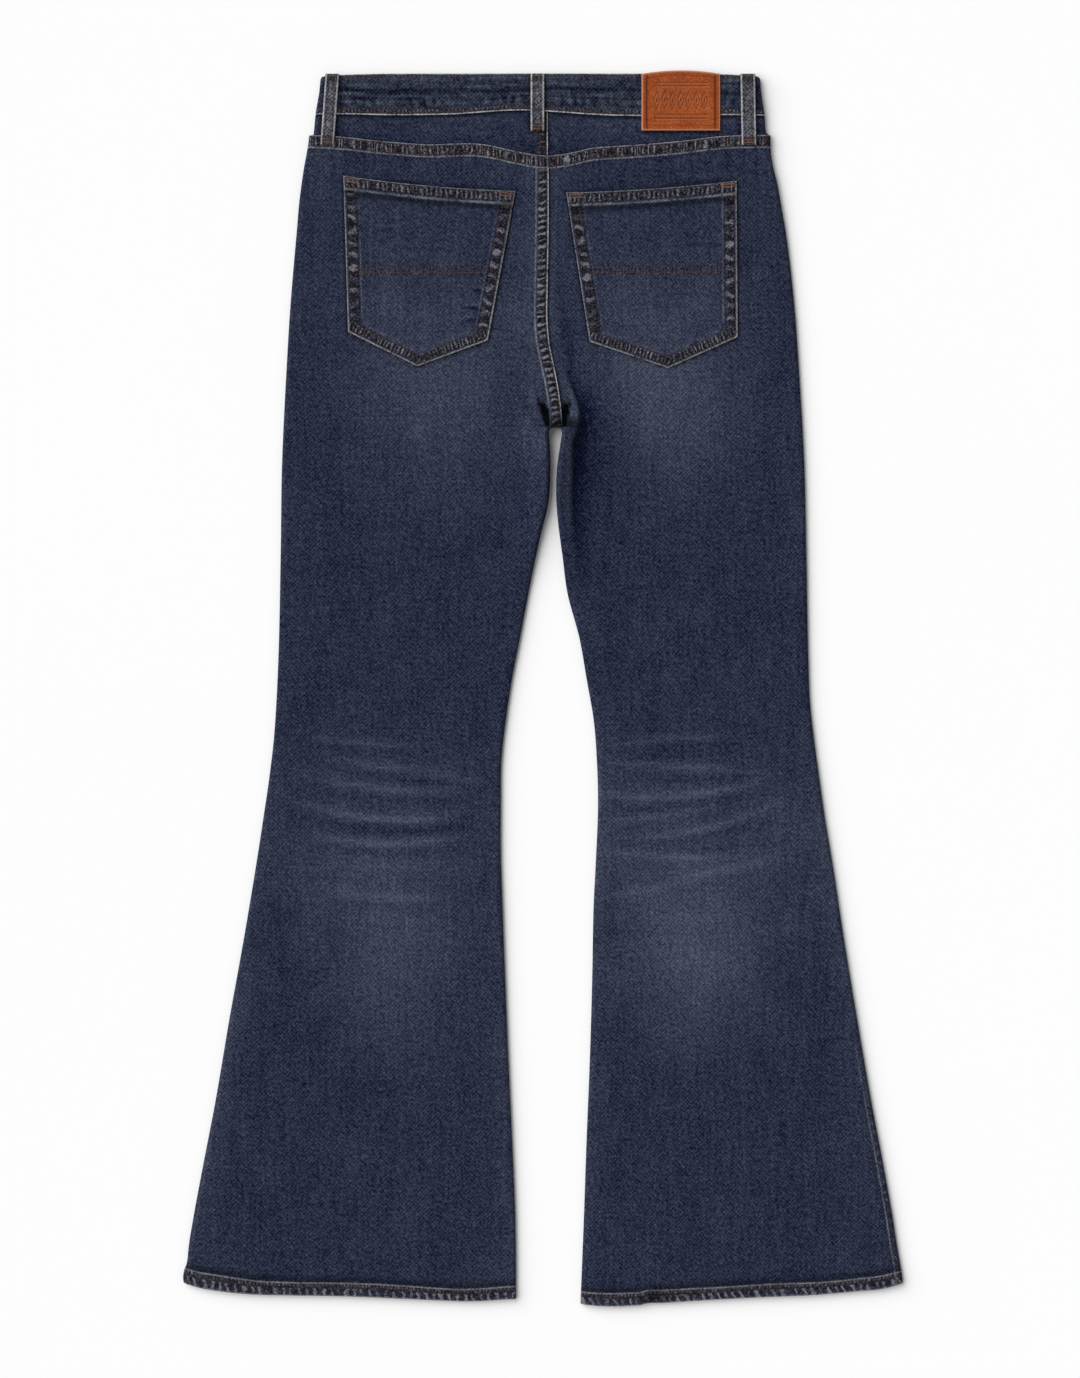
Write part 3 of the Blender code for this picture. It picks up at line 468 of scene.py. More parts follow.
@dataclass(frozen=True)
class WearAndShadeMap:
    """Where the cloth is creased, where its dye is worn, and where the fold's light and shade are painted
    on it.
    """

    # Troughs with a fade below 0 are darker; the one at across 23.5, down 258 is painted shadow in the
    # lee of the fold over the right thigh.
    creases: tuple[Crease, ...] = tuple(Crease(*row) for row in (
        (24.0, 372, 92, 72, 5.0, 0.0, 0.3, 0.32), (26.0, 314, 88, 22, 5.0, 0.0, 0.5, 0.30),
        (23.5, 258, 81, 46, 7.0, 0.0, -0.6, -0.55), (-6.5, 309, 62, 20, 3.2, 0.0, 1.0, 0.25),
        (-12.0, 318, 66, 22, 3.4, 0.0, -0.8, -0.30), (-172, 627, 5, 54, 3.0, 1.0, 0.69, 0.83),
        (-166, 634, 5, 50, 3.4, 1.0, -0.46, -0.27), (-145, 649, 5, 62, 3.0, 4.0, 0.8, 0.85),
        (-90, 660, 8, 44, 3.0, -2.0, 0.69, 0.70), (-132, 661, 5, 66, 3.2, 3.0, -0.46, -0.37),
        (-150, 668, 5, 88, 3.0, 6.0, 0.92, 0.88), (-148, 680, 4, 84, 3.6, 5.0, -0.57, -0.37),
        (-156, 694, 5, 86, 3.4, 12.5, 1.03, 1.14), (-142, 707, 2, 80, 4.2, 9.0, -0.8, -0.76),
        (-146, 718, 0, 82, 3.2, 11.5, 0.92, 0.96), (-146, 730, 2, 76, 4.5, 6.0, -0.46, -0.34),
        (-130, 740, 3, 76, 11.0, 4.0, 0.3, 0.34), (-146, 770, 3, 66, 4.4, 8.0, 0.69, 0.60),
        (-146, 780, 3, 56, 5.0, 6.0, -0.34, -0.24), (-205, 655, 8, 32, 4.0, 2.0, 0.46, 0.29),
        (123, 625, -3, 72, 3.0, -5.0, 0.69, 0.74), (120, 634, -3, 66, 3.4, -4.0, -0.46, -0.32),
        (132, 650, 4, 84, 3.0, 0.5, 0.8, 0.88), (140, 661, 1, 80, 3.4, 2.0, -0.57, -0.39),
        (134, 672, -6, 90, 3.2, 13.0, 1.03, 1.02), (134, 685, -7, 80, 4.0, 9.0, -0.57, -0.51),
        (112, 694, -11, 60, 3.6, 2.0, 0.69, 0.70), (146, 705, -13, 92, 3.2, 11.5, 0.92, 0.98),
        (140, 713, -8, 84, 3.4, 7.0, -0.69, -0.51), (112, 733, 3, 66, 3.4, 1.0, 0.92, 0.94),
        (172, 744, -12, 62, 4.0, 4.0, 0.69, 0.62), (150, 726, -6, 70, 3.0, 7.0, -0.46, -0.36),
        (120, 757, -3, 60, 5.0, 3.0, -0.34, -0.27), (110, 641, -2, 60, 3.4, 0.0, -0.34, -0.27),
        (112, 761, -11, 62, 4.4, 2.0, 0.69, 0.50), (146, 790, -3, 50, 6.0, 4.0, 0.34, 0.21),
    ))
    blooms: tuple[Bloom, ...] = tuple(Bloom(*row) for row in (
        (-108, 306, 74, 78, 0.78), (112, 304, 78, 80, 1.05), (-6, 190, 24, 130, 0.68),
        (0, 92, 230, 26, 0.08), (-205, 190, 26, 120, 0.18), (208, 170, 24, 110, 0.26),
        (-140, 690, 90, 62, 0.40), (142, 688, 92, 62, 0.40), (-132, 828, 56, 80, 1.0),
        (138, 822, 60, 84, 1.2), (-240, 440, 16, 110, 0.15), (240, 440, 16, 110, 0.22),
        (-130, 560, 80, 60, 0.10), (130, 560, 80, 60, 0.10), (-60, 400, 30, 90, 0.10),
        (0, 1060, 400, 110, 0.08), (-194, 760, 62, 72, 0.40), (-150, 740, 110, 110, 0.10),
        (-122, 840, 30, 44, -0.28), (78, 727, 46, 92, 0.36), (218, 737, 56, 86, 0.34),
        (140, 740, 110, 90, 0.08), (60, 359, 26, 58, -0.50), (94, 270, 40, 26, 0.42),
        (-106, 272, 74, 28, 0.24), (-41, 224, 22, 26, 0.36), (-207, 307, 22, 44, -0.24),
        (212, 262, 24, 70, -0.18), (-207, 79, 14, 30, 0.36), (-293, 880, 22, 74, 0.30),
        (-314, 1010, 14, 80, 0.26), (264, 746, 18, 92, 0.24), (288, 870, 16, 80, 0.20),
    ))
    # down, across, strength: sharp edge of the fold that hangs over the right thigh
    fold_edge: tuple[tuple[float, float, float], ...] = (
        (276, 14.0, 0.0), (285.5, 21.0, 0.35), (298, 27.1, 0.75), (307.3, 30.5, 1.0),
        (316.6, 32.9, 1.0), (327, 32.7, 1.0), (335.3, 31.2, 1.0), (344.6, 27.6, 1.0),
        (360.3, 26.6, 0.95), (382, 26.2, 0.8), (410, 26.6, 0.6), (438, 29.0, 0.35), (480, 33.0, 0.0),
    )
    fold_reach: float = 17.0
    fold_drop: float = 2.4
    # painted shadow in the fold's lee and a painted highlight on its lip
    lee_painted_shadow: float = 1.45
    fold_lip: float = 2.4
    lip_rise: float = 0.9
    lip_painted_highlight: float = 0.2

    def fold(self, across: Array, down: Array) -> tuple[Array, Array]:
        """Give the overhanging fold below the seat seam.

        Args:
            across: Places across the garment.
            down: Places down the garment.

        Returns:
            Its rise, and the painted highlight on its lip and the painted shadow in its lee.
        """
        beyond = across - Line(self.fold_edge)(down)
        strength = np.maximum(Line(self.fold_edge, 2)(down), 0.0)
        lee = ease((beyond + 0.4) / 1.6) * bell(np.maximum(beyond, 0.0), self.fold_reach)
        lip = bell(beyond + self.fold_lip, self.fold_lip)
        rise = strength * (self.lip_rise * lip - self.fold_drop * lee)
        return rise, strength * (self.lip_painted_highlight * lip - self.lee_painted_shadow * lee)

    def shape(self, crease: Crease, across: Array, down: Array) -> Array:
        """Give a crease's strength, from 0 to 1, at places.

        Args:
            crease: The crease.
            across: Places across the garment.
            down: Places down the garment.

        Returns:
            An array of strengths.
        """
        turn = math.radians(crease.turn)
        run = across - crease.across
        fall = down - crease.down
        along = run * math.cos(turn) + fall * math.sin(turn)
        beside = fall * math.cos(turn) - run * math.sin(turn)
        share = np.clip(along / crease.length, -1.0, 1.0)
        beside = beside - crease.bend * (0.35 - share**2)
        return (1 - share**2) ** 0.9 * bell(beside, crease.width)

    def wear_and_shade(self, side: Side, across: Array, down: Array) -> tuple[Array, Array]:
        """Add up the creases, the blooms and the fold of one half.

        Args:
            side: Half of the garment.
            across: Places across the garment.
            down: Places down the garment.

        Returns:
            The rise of the cloth, and how faded it is with the fold's painted light and shade in it, 0
            where it is plain.
        """
        rise = np.zeros_like(across)
        fade = np.zeros_like(across)
        for bloom in self.blooms:
            reach = np.hypot((across - bloom.across) / bloom.reach_across,
                             (down - bloom.down) / bloom.reach_down)
            fade += bloom.fade * bell(reach, 1.0)
        for crease in self.creases:
            if crease.across * side.value > 0:
                shape = self.shape(crease, across, down)
                rise += crease.height * shape
                fade += crease.fade * shape
        if side is Side.RIGHT:
            # the fold's painted highlight on its lip and painted shadow in its lee
            fold_rise, fold_painted_light = self.fold(across, down)
            rise += fold_rise
            fade += fold_painted_light
        return rise, fade


class SeamMarksAndShade:
    """Marks on cloth: worn edges and mottled puckers from sewing and washing, and painted shade beside
    seams, edges and folds.
    """

    far = 50.0

    def __init__(self, like: Array) -> None:
        """Start with unmarked cloth on a grid of the same shape.

        Args:
            like: A grid of the wanted shape.
        """
        self.worn, self.nearest = (np.full_like(like, self.far) for _ in range(2))
        (self.gain, self.pucker, self.shade, self.rust, self.bright, self.run,
         self.depth) = (np.zeros_like(like) for _ in range(7))

    def line(self, distance: Array, gain: Number) -> None:
        """Mark a worn edge.

        Args:
            distance: Distance from the edge.
            gain: How pale it is worn.
        """
        distance = np.abs(distance)
        gain = np.broadcast_to(np.asarray(gain, dtype=float), distance.shape)
        nearer = (distance < self.worn) & (gain > 0.01)
        self.worn = np.where(nearer, distance, self.worn)
        self.gain = np.where(nearer, gain, self.gain)

    def darken(self, amount: Array) -> None:
        """Mark a shaded place."""
        self.shade = np.maximum(self.shade, amount)

    def shade_beside(self, distance: Array, reach: float, amount: Number) -> None:
        """Paint shade in a band beside an edge, where a groove, a fold or a raised part shades the cloth.
        """
        self.darken(amount * bell(distance, reach))

    def band(self, depth: Array, run: Array, width: Number, period: float, amount: Number,
             rust: float, bright: float = 0.8, slant: float = 0.0) -> None:
        """Mark a band of puckers along a seam.

        Args:
            depth: Distance into the band from its edge.
            run: Distance along the seam.
            width: The band's width.
            period: Usual distance between two puckers.
            amount: How strongly it is mottled.
            rust: How much of the brown thread shows in it.
            bright: How pale the tops of the puckers are worn.
            slant: How far the puckers lean, in periods over the band's width.
        """
        mask = ease((depth + 0.2) / 0.8) * ease((width + 0.2 - depth) / 0.8) * amount
        outside = np.maximum(np.abs(depth - width / 2) - width / 2, 0.0)
        nearer = (outside < self.nearest) | (mask > self.pucker)
        self.nearest = np.where(nearer, outside, self.nearest)
        self.run = np.where(nearer, run / period + slant * depth / width, self.run)
        self.depth = np.where(nearer, depth / width, self.depth)
        self.rust = np.where(mask > self.pucker, rust, self.rust)
        self.bright = np.where(nearer, bright, self.bright)
        self.pucker = np.maximum(self.pucker, mask)

    def dressing(self, fade: Array) -> tuple[dict[str, Array], tuple[Array, Array]]:
        """Give the marks by the names that the finishes read, and the places along the seams."""
        return {"fade": fade, "worn": self.worn, "gain": self.gain, "pucker": self.pucker,
                "shade": self.shade, "rust": self.rust, "bright": self.bright}, (self.run, self.depth)


# Meshes


def select_only(piece: bpy.types.Object) -> None:
    """Make one object the only selected and the active one.

    Args:
        piece: The object.
    """
    bpy.ops.object.select_all(action="DESELECT")
    piece.select_set(True)
    bpy.context.view_layer.objects.active = piece


def apply_modifiers(piece: bpy.types.Object) -> None:
    """Apply all of a piece's modifiers.

    Args:
        piece: The piece.
    """
    select_only(piece)
    for modifier in list(piece.modifiers):
        bpy.ops.object.modifier_apply(modifier=modifier.name)


def settle(piece: bpy.types.Object) -> None:
    """Put a piece's place into its mesh."""
    select_only(piece)
    bpy.ops.object.transform_apply(location=True, rotation=True, scale=True)


def linked(name: str, data: bpy.types.ID) -> bpy.types.Object:
    """Put data into the scene as an object.

    Args:
        name: The object's name.
        data: Its mesh, light or camera.

    Returns:
        The object.
    """
    thing = bpy.data.objects.new(name, data)
    bpy.context.scene.collection.objects.link(thing)
    return thing


def vertex_places(mesh: bpy.types.Mesh) -> Array:
    """Read a mesh's vertices.

    Args:
        mesh: The mesh.

    Returns:
        Their places, a row for each.
    """
    flat = np.empty(len(mesh.vertices) * 3)
    mesh.vertices.foreach_get("co", flat)
    return flat.reshape(-1, 3)


def select_faces(piece: bpy.types.Object, axis: int, sign: int) -> None:
    """Go into edit mode with only those faces selected that look one way.

    Args:
        piece: The piece.
        axis: The axis that they look along.
        sign: 1 for faces that look up it, or -1.
    """
    bpy.ops.object.mode_set(mode="EDIT")
    bpy.ops.mesh.select_mode(type="FACE")
    bpy.ops.mesh.select_all(action="DESELECT")
    bpy.ops.object.mode_set(mode="OBJECT")
    for face in piece.data.polygons:
        face.select = face.normal[axis] * sign > 0.9
    bpy.ops.object.mode_set(mode="EDIT")


def inset(steps: Sequence[Point]) -> None:
    """Inset the selected faces in steps of a width and a depth, and leave edit mode.

    Args:
        steps: The widths and depths.
    """
    for width, depth in steps:
        bpy.ops.mesh.inset(thickness=width * MM, depth=depth * MM)
    bpy.ops.object.mode_set(mode="OBJECT")


def round_edges(piece: bpy.types.Object, width: float, segments: int) -> None:
    """Round a piece's sharp edges and shade it smooth.

    Args:
        piece: The piece.
        width: The rounding's width, in the mesh's units.
        segments: The rounding's segments.
    """
    rounding = piece.modifiers.new("rounding", "BEVEL")
    rounding.width = width
    rounding.segments = segments
    rounding.limit_method = "ANGLE"
    apply_modifiers(piece)
    piece.data.shade_smooth()


def stamped(name: str, draft: "Draft", one: bpy.types.Object, table: Array) -> bpy.types.Object:
    """Join many copies of one small piece, and take the small piece away.

    Args:
        name: The joined piece's name.
        draft: The garment's lines.
        one: The small piece, in millimetres at the origin.
        table: A row of across, down, height, turn and stretch for each copy.

    Returns:
        The joined piece.
    """
    places = vertex_places(one.data)
    faces = [tuple(face.vertices) for face in one.data.polygons]
    bpy.data.objects.remove(one, do_unlink=True)
    along = places[None, :, 0] * table[:, 4:5]
    beside = np.broadcast_to(places[None, :, 1], along.shape)
    cos, sin = np.cos(table[:, 3:4]), np.sin(table[:, 3:4])
    across = table[:, 0:1] + along * cos - beside * sin
    down = table[:, 1:2] - along * sin - beside * cos
    height = table[:, 2:3] + places[None, :, 2] + 0 * along
    mesh = bpy.data.meshes.new(name)
    mesh.from_pydata(draft.points(across, down, height).reshape(-1, 3).tolist(), [],
                     [tuple(corner + index * len(places) for corner in face)
                      for index in range(len(table)) for face in faces])
    mesh.shade_smooth()
    return linked(name, mesh)


def dress(piece: bpy.types.Object, material: bpy.types.Material, slot: str,
          *nodes: str) -> bpy.types.Object:
    """Finish a piece, hang it under the root body and hide the nodes that it stands for.

    Args:
        piece: The piece.
        material: Its finish.
        slot: Not used.
        nodes: The nodes that it stands for.

    Returns:
        The piece.
    """
    piece.data.materials.clear()
    piece.data.materials.append(material)
    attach(piece, "root")
    if nodes:
        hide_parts(*nodes)
    return piece


class Form(NamedTuple):
    """Grid of a cloth wall, in rows down the garment, with its thickness and its marks."""

    across: Array
    down: Array
    height: Array
    thickness: Number
    attributes: dict[str, Array]
    seam_uv: Optional[tuple[Array, Array]] = None


@dataclass
class ClothPiece:
    """A piece of cloth or leather that is made and dressed in one way."""

    draft: Draft
    node: str
    rests_on: list[str]
    slot: ClassVar[str] = "denim"
    up: ClassVar[int] = 1
    outward: ClassVar[bool] = False
    thickest: ClassVar[float] = 4.0
    least_side: ClassVar[float] = 0.011

    @property
    def name(self) -> str:
        """The piece's name."""
        return self.node

    def form(self) -> Form:
        """Shape the wall: its outer face, or its underside if it grows outward."""
        raise NotImplementedError

    def build(self, finish: bpy.types.Material) -> bpy.types.Object:
        """Make the piece and dress it.

        Args:
            finish: The cloth or the leather.

        Returns:
            The piece.
        """
        form = self.form()
        points = self.draft.points(form.across, form.down, form.height)
        piece = self.wall(points, form)
        dress(piece, finish, self.slot, self.node)
        return piece

    def wall(self, points: Array, form: Form) -> bpy.types.Object:
        """Make the wall from its points.

        Args:
            points: The grid's points, in metres.
            form: The grid's thickness and marks.

        Returns:
            The piece, with its wall applied.
        """
        rows, columns = points.shape[:2]
        shape = bmesh.new()
        bmesh.ops.create_grid(shape, x_segments=columns - 1, y_segments=rows - 1, size=1.0)
        mesh = bpy.data.meshes.new(self.name)
        shape.to_mesh(mesh)
        shape.free()
        flat = vertex_places(mesh)
        column = np.rint((flat[:, 0] + 1) / 2 * (columns - 1)).astype(int)
        row = np.rint((1 - flat[:, 1]) / 2 * (rows - 1)).astype(int)
        mesh.vertices.foreach_set("co", points[row, column].ravel())
        for key, values in form.attributes.items():
            layer = mesh.attributes.new(key, "FLOAT", "POINT")
            layer.data.foreach_set("value", values[row, column].astype(np.float32))
        if form.seam_uv is not None:
            corners = np.empty(len(mesh.loops), dtype=np.int32)
            mesh.loops.foreach_get("vertex_index", corners)
            pair = np.stack([part[row, column][corners] for part in form.seam_uv], axis=-1)
            layer = mesh.uv_layers.new(name="seam")
            layer.uv.foreach_set("vector", pair.astype(np.float32).ravel())
        mesh.update()
        if sum(face.normal.z * face.area for face in mesh.polygons) * self.up < 0:
            mesh.flip_normals()
        piece = linked(self.name, mesh)
        weights = np.broadcast_to(np.asarray(form.thickness, dtype=float), (rows, columns))
        weights = np.round((weights / self.thickest)[row, column], 3)
        group = piece.vertex_groups.new(name="wall")
        for step in np.unique(weights):
            group.add(np.nonzero(weights == step)[0].tolist(), float(step), "REPLACE")
        wall = piece.modifiers.new("wall", "SOLIDIFY")
        wall.thickness = self.thickest * MM
        wall.offset = 1.0 if self.outward else -1.0
        wall.vertex_group = group.name
        wall.use_even_offset = False
        apply_modifiers(piece)
        piece.vertex_groups.clear()
        piece.data.shade_smooth()
        return piece


# Finishes


def srgb(red: float, green: float, blue: float) -> Colour:
    """Turn a screen colour into a linear one.

    Args:
        red: Its red, from 0 to 255.
        green: Its green.
        blue: Its blue.

    Returns:
        The linear colour.
    """
    parts = [value / 255 for value in (red, green, blue)]
    return tuple(part / 12.92 if part < 0.04045 else ((part + 0.055) / 1.055) ** 2.4
                 for part in parts)


def albedo(screen: Sequence[float]) -> Colour:
    """Give the cloth colour that shows as a screen colour in the studio's light."""
    glow, light, least = 0.0045, 1.05, 0.0008
    return tuple(max((value - glow) / light, least) for value in srgb(*screen))


class Mixer:
    """Builds a material's nodes with short calls."""

    def __init__(self, name: str, roughness: float, specular: float) -> None:
        """Start a material.

        Args:
            name: The material's name.
            roughness: Roughness of the whole surface.
            specular: Specular level of the whole surface.
        """
        self.material = bpy.data.materials.new(name)
        self.material.use_nodes = True
        self.tree = self.material.node_tree
        self.surface = self.tree.nodes["Principled BSDF"].inputs
        self.surface["Roughness"].default_value = roughness
        self.surface["Specular IOR Level"].default_value = specular
        self.place = self.node("TexCoord", {}, "Object")

    def put(self, socket: Socket, value: Socket | float | Sequence[float]) -> None:
        """Link a socket, or set it.

        Args:
            socket: The input.
            value: The socket that feeds it, or its value.
        """
        if isinstance(value, bpy.types.NodeSocket):
            self.tree.links.new(value, socket)
        else:
            socket.default_value = value

    def node(self, kind: str, inputs: dict[str | int, object], output: str | int = 0,
             **settings: object) -> Socket:
        """Add a node.

        Args:
            kind: The node's type, without its prefix.
            inputs: Sockets or values for its inputs.
            output: The output that is wanted.
            settings: The node's own settings.

        Returns:
            The output.
        """
        node = self.tree.nodes.new("ShaderNode" + kind)
        for key, value in settings.items():
            setattr(node, key, value)
        for key, value in inputs.items():
            self.put(node.inputs[key], value)
        return node.outputs[output]

    def attribute(self, name: str) -> Socket:
        """Read a mark of the cloth."""
        return self.node("Attribute", {}, "Fac", attribute_name=name)

    def math(self, kind: str, first: Socket | float, second: Socket | float = 0.0) -> Socket:
        """Calculate with two numbers."""
        return self.node("Math", {0: first, 1: second}, operation=kind)

    def add(self, *values: Socket | float) -> Socket:
        """Add numbers."""
        return reduce(lambda total, value: self.math("ADD", total, value), values)

    def times(self, *values: Socket | float) -> Socket:
        """Multiply numbers."""
        return reduce(lambda total, value: self.math("MULTIPLY", total, value), values)

    def minus(self, first: Socket | float, second: Socket | float) -> Socket:
        """Take one number from another."""
        return self.math("SUBTRACT", first, second)

    def stretch(self, vector: Socket, scale: Sequence[float], shift: float = 0.0) -> Socket:
        """Scale and shift a vector."""
        return self.node("Mapping", {"Vector": vector, "Scale": scale, "Location": (shift,) * 3})

    def turned(self, vector: Socket, degrees: float) -> Socket:
        """Turn a vector about Z."""
        return self.node("Mapping", {"Vector": vector, "Rotation": (0, 0, math.radians(degrees))})

    def noise(self, scale: Sequence[float], shift: float = 0.0, detail: float = 1.0,
              rough: float = 0.5, on: Optional[Socket] = None) -> Socket:
        """Cloudy pattern from -0.5 to 0.5, with so many clouds to a unit of each axis.

        Args:
            scale: Clouds to a unit.
            shift: Where in the pattern it starts.
            detail: How many finer patterns lie in it.
            rough: How strong these are.
            on: The place that it follows, or None for the object's own.

        Returns:
            The pattern.
        """
        place = self.stretch(self.place if on is None else on, scale, shift)
        inputs = {"Vector": place, "Scale": 1.0, "Detail": detail, "Roughness": rough}
        return self.minus(self.node("TexNoise", inputs, "Fac"), 0.5)

    def ribs(self, vector: Socket, axis: str = "X", jitter: float = 0.0) -> Socket:
        """Rounded ribs from 0 to 1, one to each unit of an axis, made uneven by the jitter.

        Args:
            vector: The place.
            axis: The axis that they are counted along.
            jitter: How uneven they are.

        Returns:
            The ribs.
        """
        inputs = {"Vector": vector, "Scale": math.pi / 10, "Distortion": jitter, "Detail": 1.0,
                  "Detail Scale": 0.55 * 10 / math.pi}
        return self.node("TexWave", inputs, "Fac", wave_type="BANDS", bands_direction=axis)

    def smooth(self, value: Socket, low: float, high: float) -> Socket:
        """Ease from 0 at low to 1 at high."""
        inputs = {"Value": value, "From Min": low, "From Max": high}
        return self.node("MapRange", inputs, "Result", interpolation_type="SMOOTHSTEP")

    def ramp(self, value: Socket, stops: Sequence[tuple[float, Colour]]) -> Socket:
        """Turn a number into a colour.

        Args:
            value: The number.
            stops: Places and colours along the ramp.

        Returns:
            The colour.
        """
        node = self.tree.nodes.new("ShaderNodeValToRGB")
        elements = node.color_ramp.elements
        while len(elements) < len(stops):
            elements.new(0.5)
        for element, (position, colour) in zip(elements, stops):
            element.position = position
            element.color = (*colour, 1.0)
        self.tree.links.new(value, node.inputs["Fac"])
        return node.outputs["Color"]

    def blend(self, share: Socket | float, first: Socket, second: Socket | Colour) -> Socket:
        """Mix two colours.

        Args:
            share: How much of the second colour there is.
            first: The first colour.
            second: The second colour.

        Returns:
            The mixed colour.
        """
        node = self.tree.nodes.new("ShaderNodeMix")
        node.data_type = "RGBA"
        colours = [socket for socket in node.inputs if socket.type == "RGBA"]
        self.put(node.inputs["Factor"], share)
        self.put(colours[0], first)
        self.put(colours[1], (*second, 1.0) if isinstance(second, tuple) else second)
        return node.outputs[2]

    def finish(self, colour: Socket, height: Optional[Socket] = None, depth: float = 0.0,
               strength: float = 1.0) -> bpy.types.Material:
        """Link the colour and the relief, and give the material.

        Args:
            colour: The base colour.
            height: The relief, or None for a smooth surface.
            depth: Distance in metres for one unit of the relief.
            strength: How strongly the relief shows.

        Returns:
            The material.
        """
        self.put(self.surface["Base Color"], colour)
        if height is not None:
            relief = {"Strength": strength, "Distance": depth, "Height": height}
            self.put(self.surface["Normal"], self.node("Bump", relief, "Normal"))
        return self.material


@dataclass(frozen=True)
class DenimFinish:
    """Washed twill: the dye's tones, its yarns, its wear, and the painted shade of its marks."""

    name: str = "denim_body"
    plain: Colour = (40.5, 45.4, 63.0)
    fade_step: Colour = (19.6, 20.2, 18.8)
    worn: Colour = srgb(170, 170, 174)
    thread: Colour = srgb(84, 58, 46)
    darkest: float = 4.0
    fade_shift: float = 0.0
    grain_gain: float = 0.92
    check: float = 2.6
    fleck: float = 3.4
    fine: float = 2.4
    slub: float = 1.0
    slub_scale: Colour = (330, 26, 60)
    cross_slub: float = 0.6
    cloud: float = 0.7
    line_width: float = 0.8
    line_grain: float = 0.45
    regular: float = 0.95
    ragged: float = 1.5

    def grain(self, mix: Mixer) -> Socket:
        """Build the yarns' lighter and darker flecks, around 0.

        Args:
            mix: The material's builder.

        Returns:
            A change of the cloth's tone.
        """
        place = mix.stretch(mix.place, (268, 262, 200))
        check = mix.times(*(mix.minus(mix.ribs(place, axis, 4.0), 0.5) for axis in "XY"))
        total = mix.add(mix.times(check, self.check),
                        mix.times(mix.noise((410, 400, 300), 3.0), self.fleck),
                        mix.times(mix.noise((900, 860, 600), 8.0), self.fine),
                        mix.times(mix.noise(self.slub_scale, 11.0), self.slub),
                        mix.times(mix.noise((34, 330, 60), 17.0), self.cross_slub))
        return mix.times(total, self.grain_gain)

    def tones(self) -> list[tuple[float, Colour]]:
        """Give the stops of the dye, from unworn to white.

        Returns:
            Places along the ramp and their colours.
        """
        return [(0.3 + 0.2 * tone, albedo([max(base + step * tone, self.darkest)
                                           for base, step in zip(self.plain, self.fade_step)]))
                for tone in (-1.5, -1.0, -0.5, 0.0, 0.5, 1.0, 2.0, 3.5)]

    def puckers(self, mix: Mixer) -> tuple[Socket, Socket]:
        """Build the mottled strokes of the seams.

        Args:
            mix: The material's builder.

        Returns:
            Their colour and their height.
        """
        seam = mix.node("UVMap", {}, "UV", uv_map="seam")
        run, depth = (mix.node("SeparateXYZ", {0: seam}, axis) for axis in (0, 1))
        jitter = mix.times(mix.noise((0.7, 0.8, 1.0), 0.0, 2.0, on=seam), 1.5)
        wave = mix.math("SINE", mix.times(mix.add(run, jitter), 2 * math.pi))
        patches = mix.noise((1.9, 2.2, 1.0), 8.0, 2.0, on=seam)
        stroke = mix.smooth(mix.add(mix.times(wave, self.regular), mix.times(patches, self.ragged)),
                            -0.2, 0.85)
        inner = mix.math("ABSOLUTE", mix.minus(depth, 0.5))
        window = mix.minus(1.0, mix.smooth(inner, 0.28, 0.52))
        uneven = mix.add(0.8, mix.times(mix.noise((0.9, 0.6, 1.0), 5.0, on=seam), 2.6))
        crumbs = mix.add(mix.noise((520, 520, 520), 4.0), mix.noise((900, 900, 900), 9.0))
        light = mix.times(stroke, window, mix.math("MAXIMUM", uneven, 0.1), mix.attribute("bright"))
        height = mix.add(0.2, mix.times(light, 0.7), mix.times(crumbs, 1.35))
        colour = mix.ramp(height, ((0.0, albedo((12, 10, 14))), (0.25, albedo((32, 31, 40))),
                                   (0.6, albedo((74, 74, 84))), (1.0, albedo((126, 125, 131)))))
        rusty = mix.smooth(mix.noise((0.5, 2.2, 1.0), 2.0, on=seam), -0.06, 0.16)
        rusty = mix.times(rusty, mix.attribute("rust"), 0.7)
        return mix.blend(rusty, colour, mix.blend(0.5, colour, self.thread)), height

    def material(self) -> bpy.types.Material:
        """Build the finish.

        Returns:
            The material.
        """
        mix = Mixer(self.name, 0.95, 0.05)
        mix.surface["Sheen Weight"].default_value = 0.03
        mix.surface["Sheen Roughness"].default_value = 0.6
        mix.surface["Sheen Tint"].default_value = (0.55, 0.6, 0.75, 1.0)
        grain = self.grain(mix)
        cloud = mix.times(mix.noise((26, 20, 20), 5.0, 2.0), self.cloud)
        tone = mix.add(mix.attribute("fade"), self.fade_shift, cloud, grain)
        colour = mix.ramp(mix.add(0.3, mix.times(tone, 0.2)), self.tones())
        pucker = mix.attribute("pucker")
        mottled, lumps = self.puckers(mix)
        colour = mix.blend(pucker, colour, mottled)
        ridge = mix.times(mix.attribute("worn"), 1.0 / self.line_width)
        ridge = mix.minus(1.0, mix.smooth(ridge, 0.3, 1.3))
        drift = mix.noise((70, 70, 70), 13.0)
        patchy = mix.add(0.76, mix.times(grain, self.line_grain), mix.times(drift, 1.1))
        colour = mix.blend(mix.times(ridge, mix.attribute("gain"), patchy), colour, self.worn)
        # painted shade from the cloth's shade mark darkens the colour
        lit = mix.minus(1.0, mix.attribute("shade"))
        colour = mix.node("VectorMath", {0: colour, "Scale": lit}, operation="SCALE")
        relief = mix.add(mix.times(grain, 0.5), mix.times(pucker, lumps, 2.0))
        return mix.finish(colour, relief, 0.0002, 0.9)


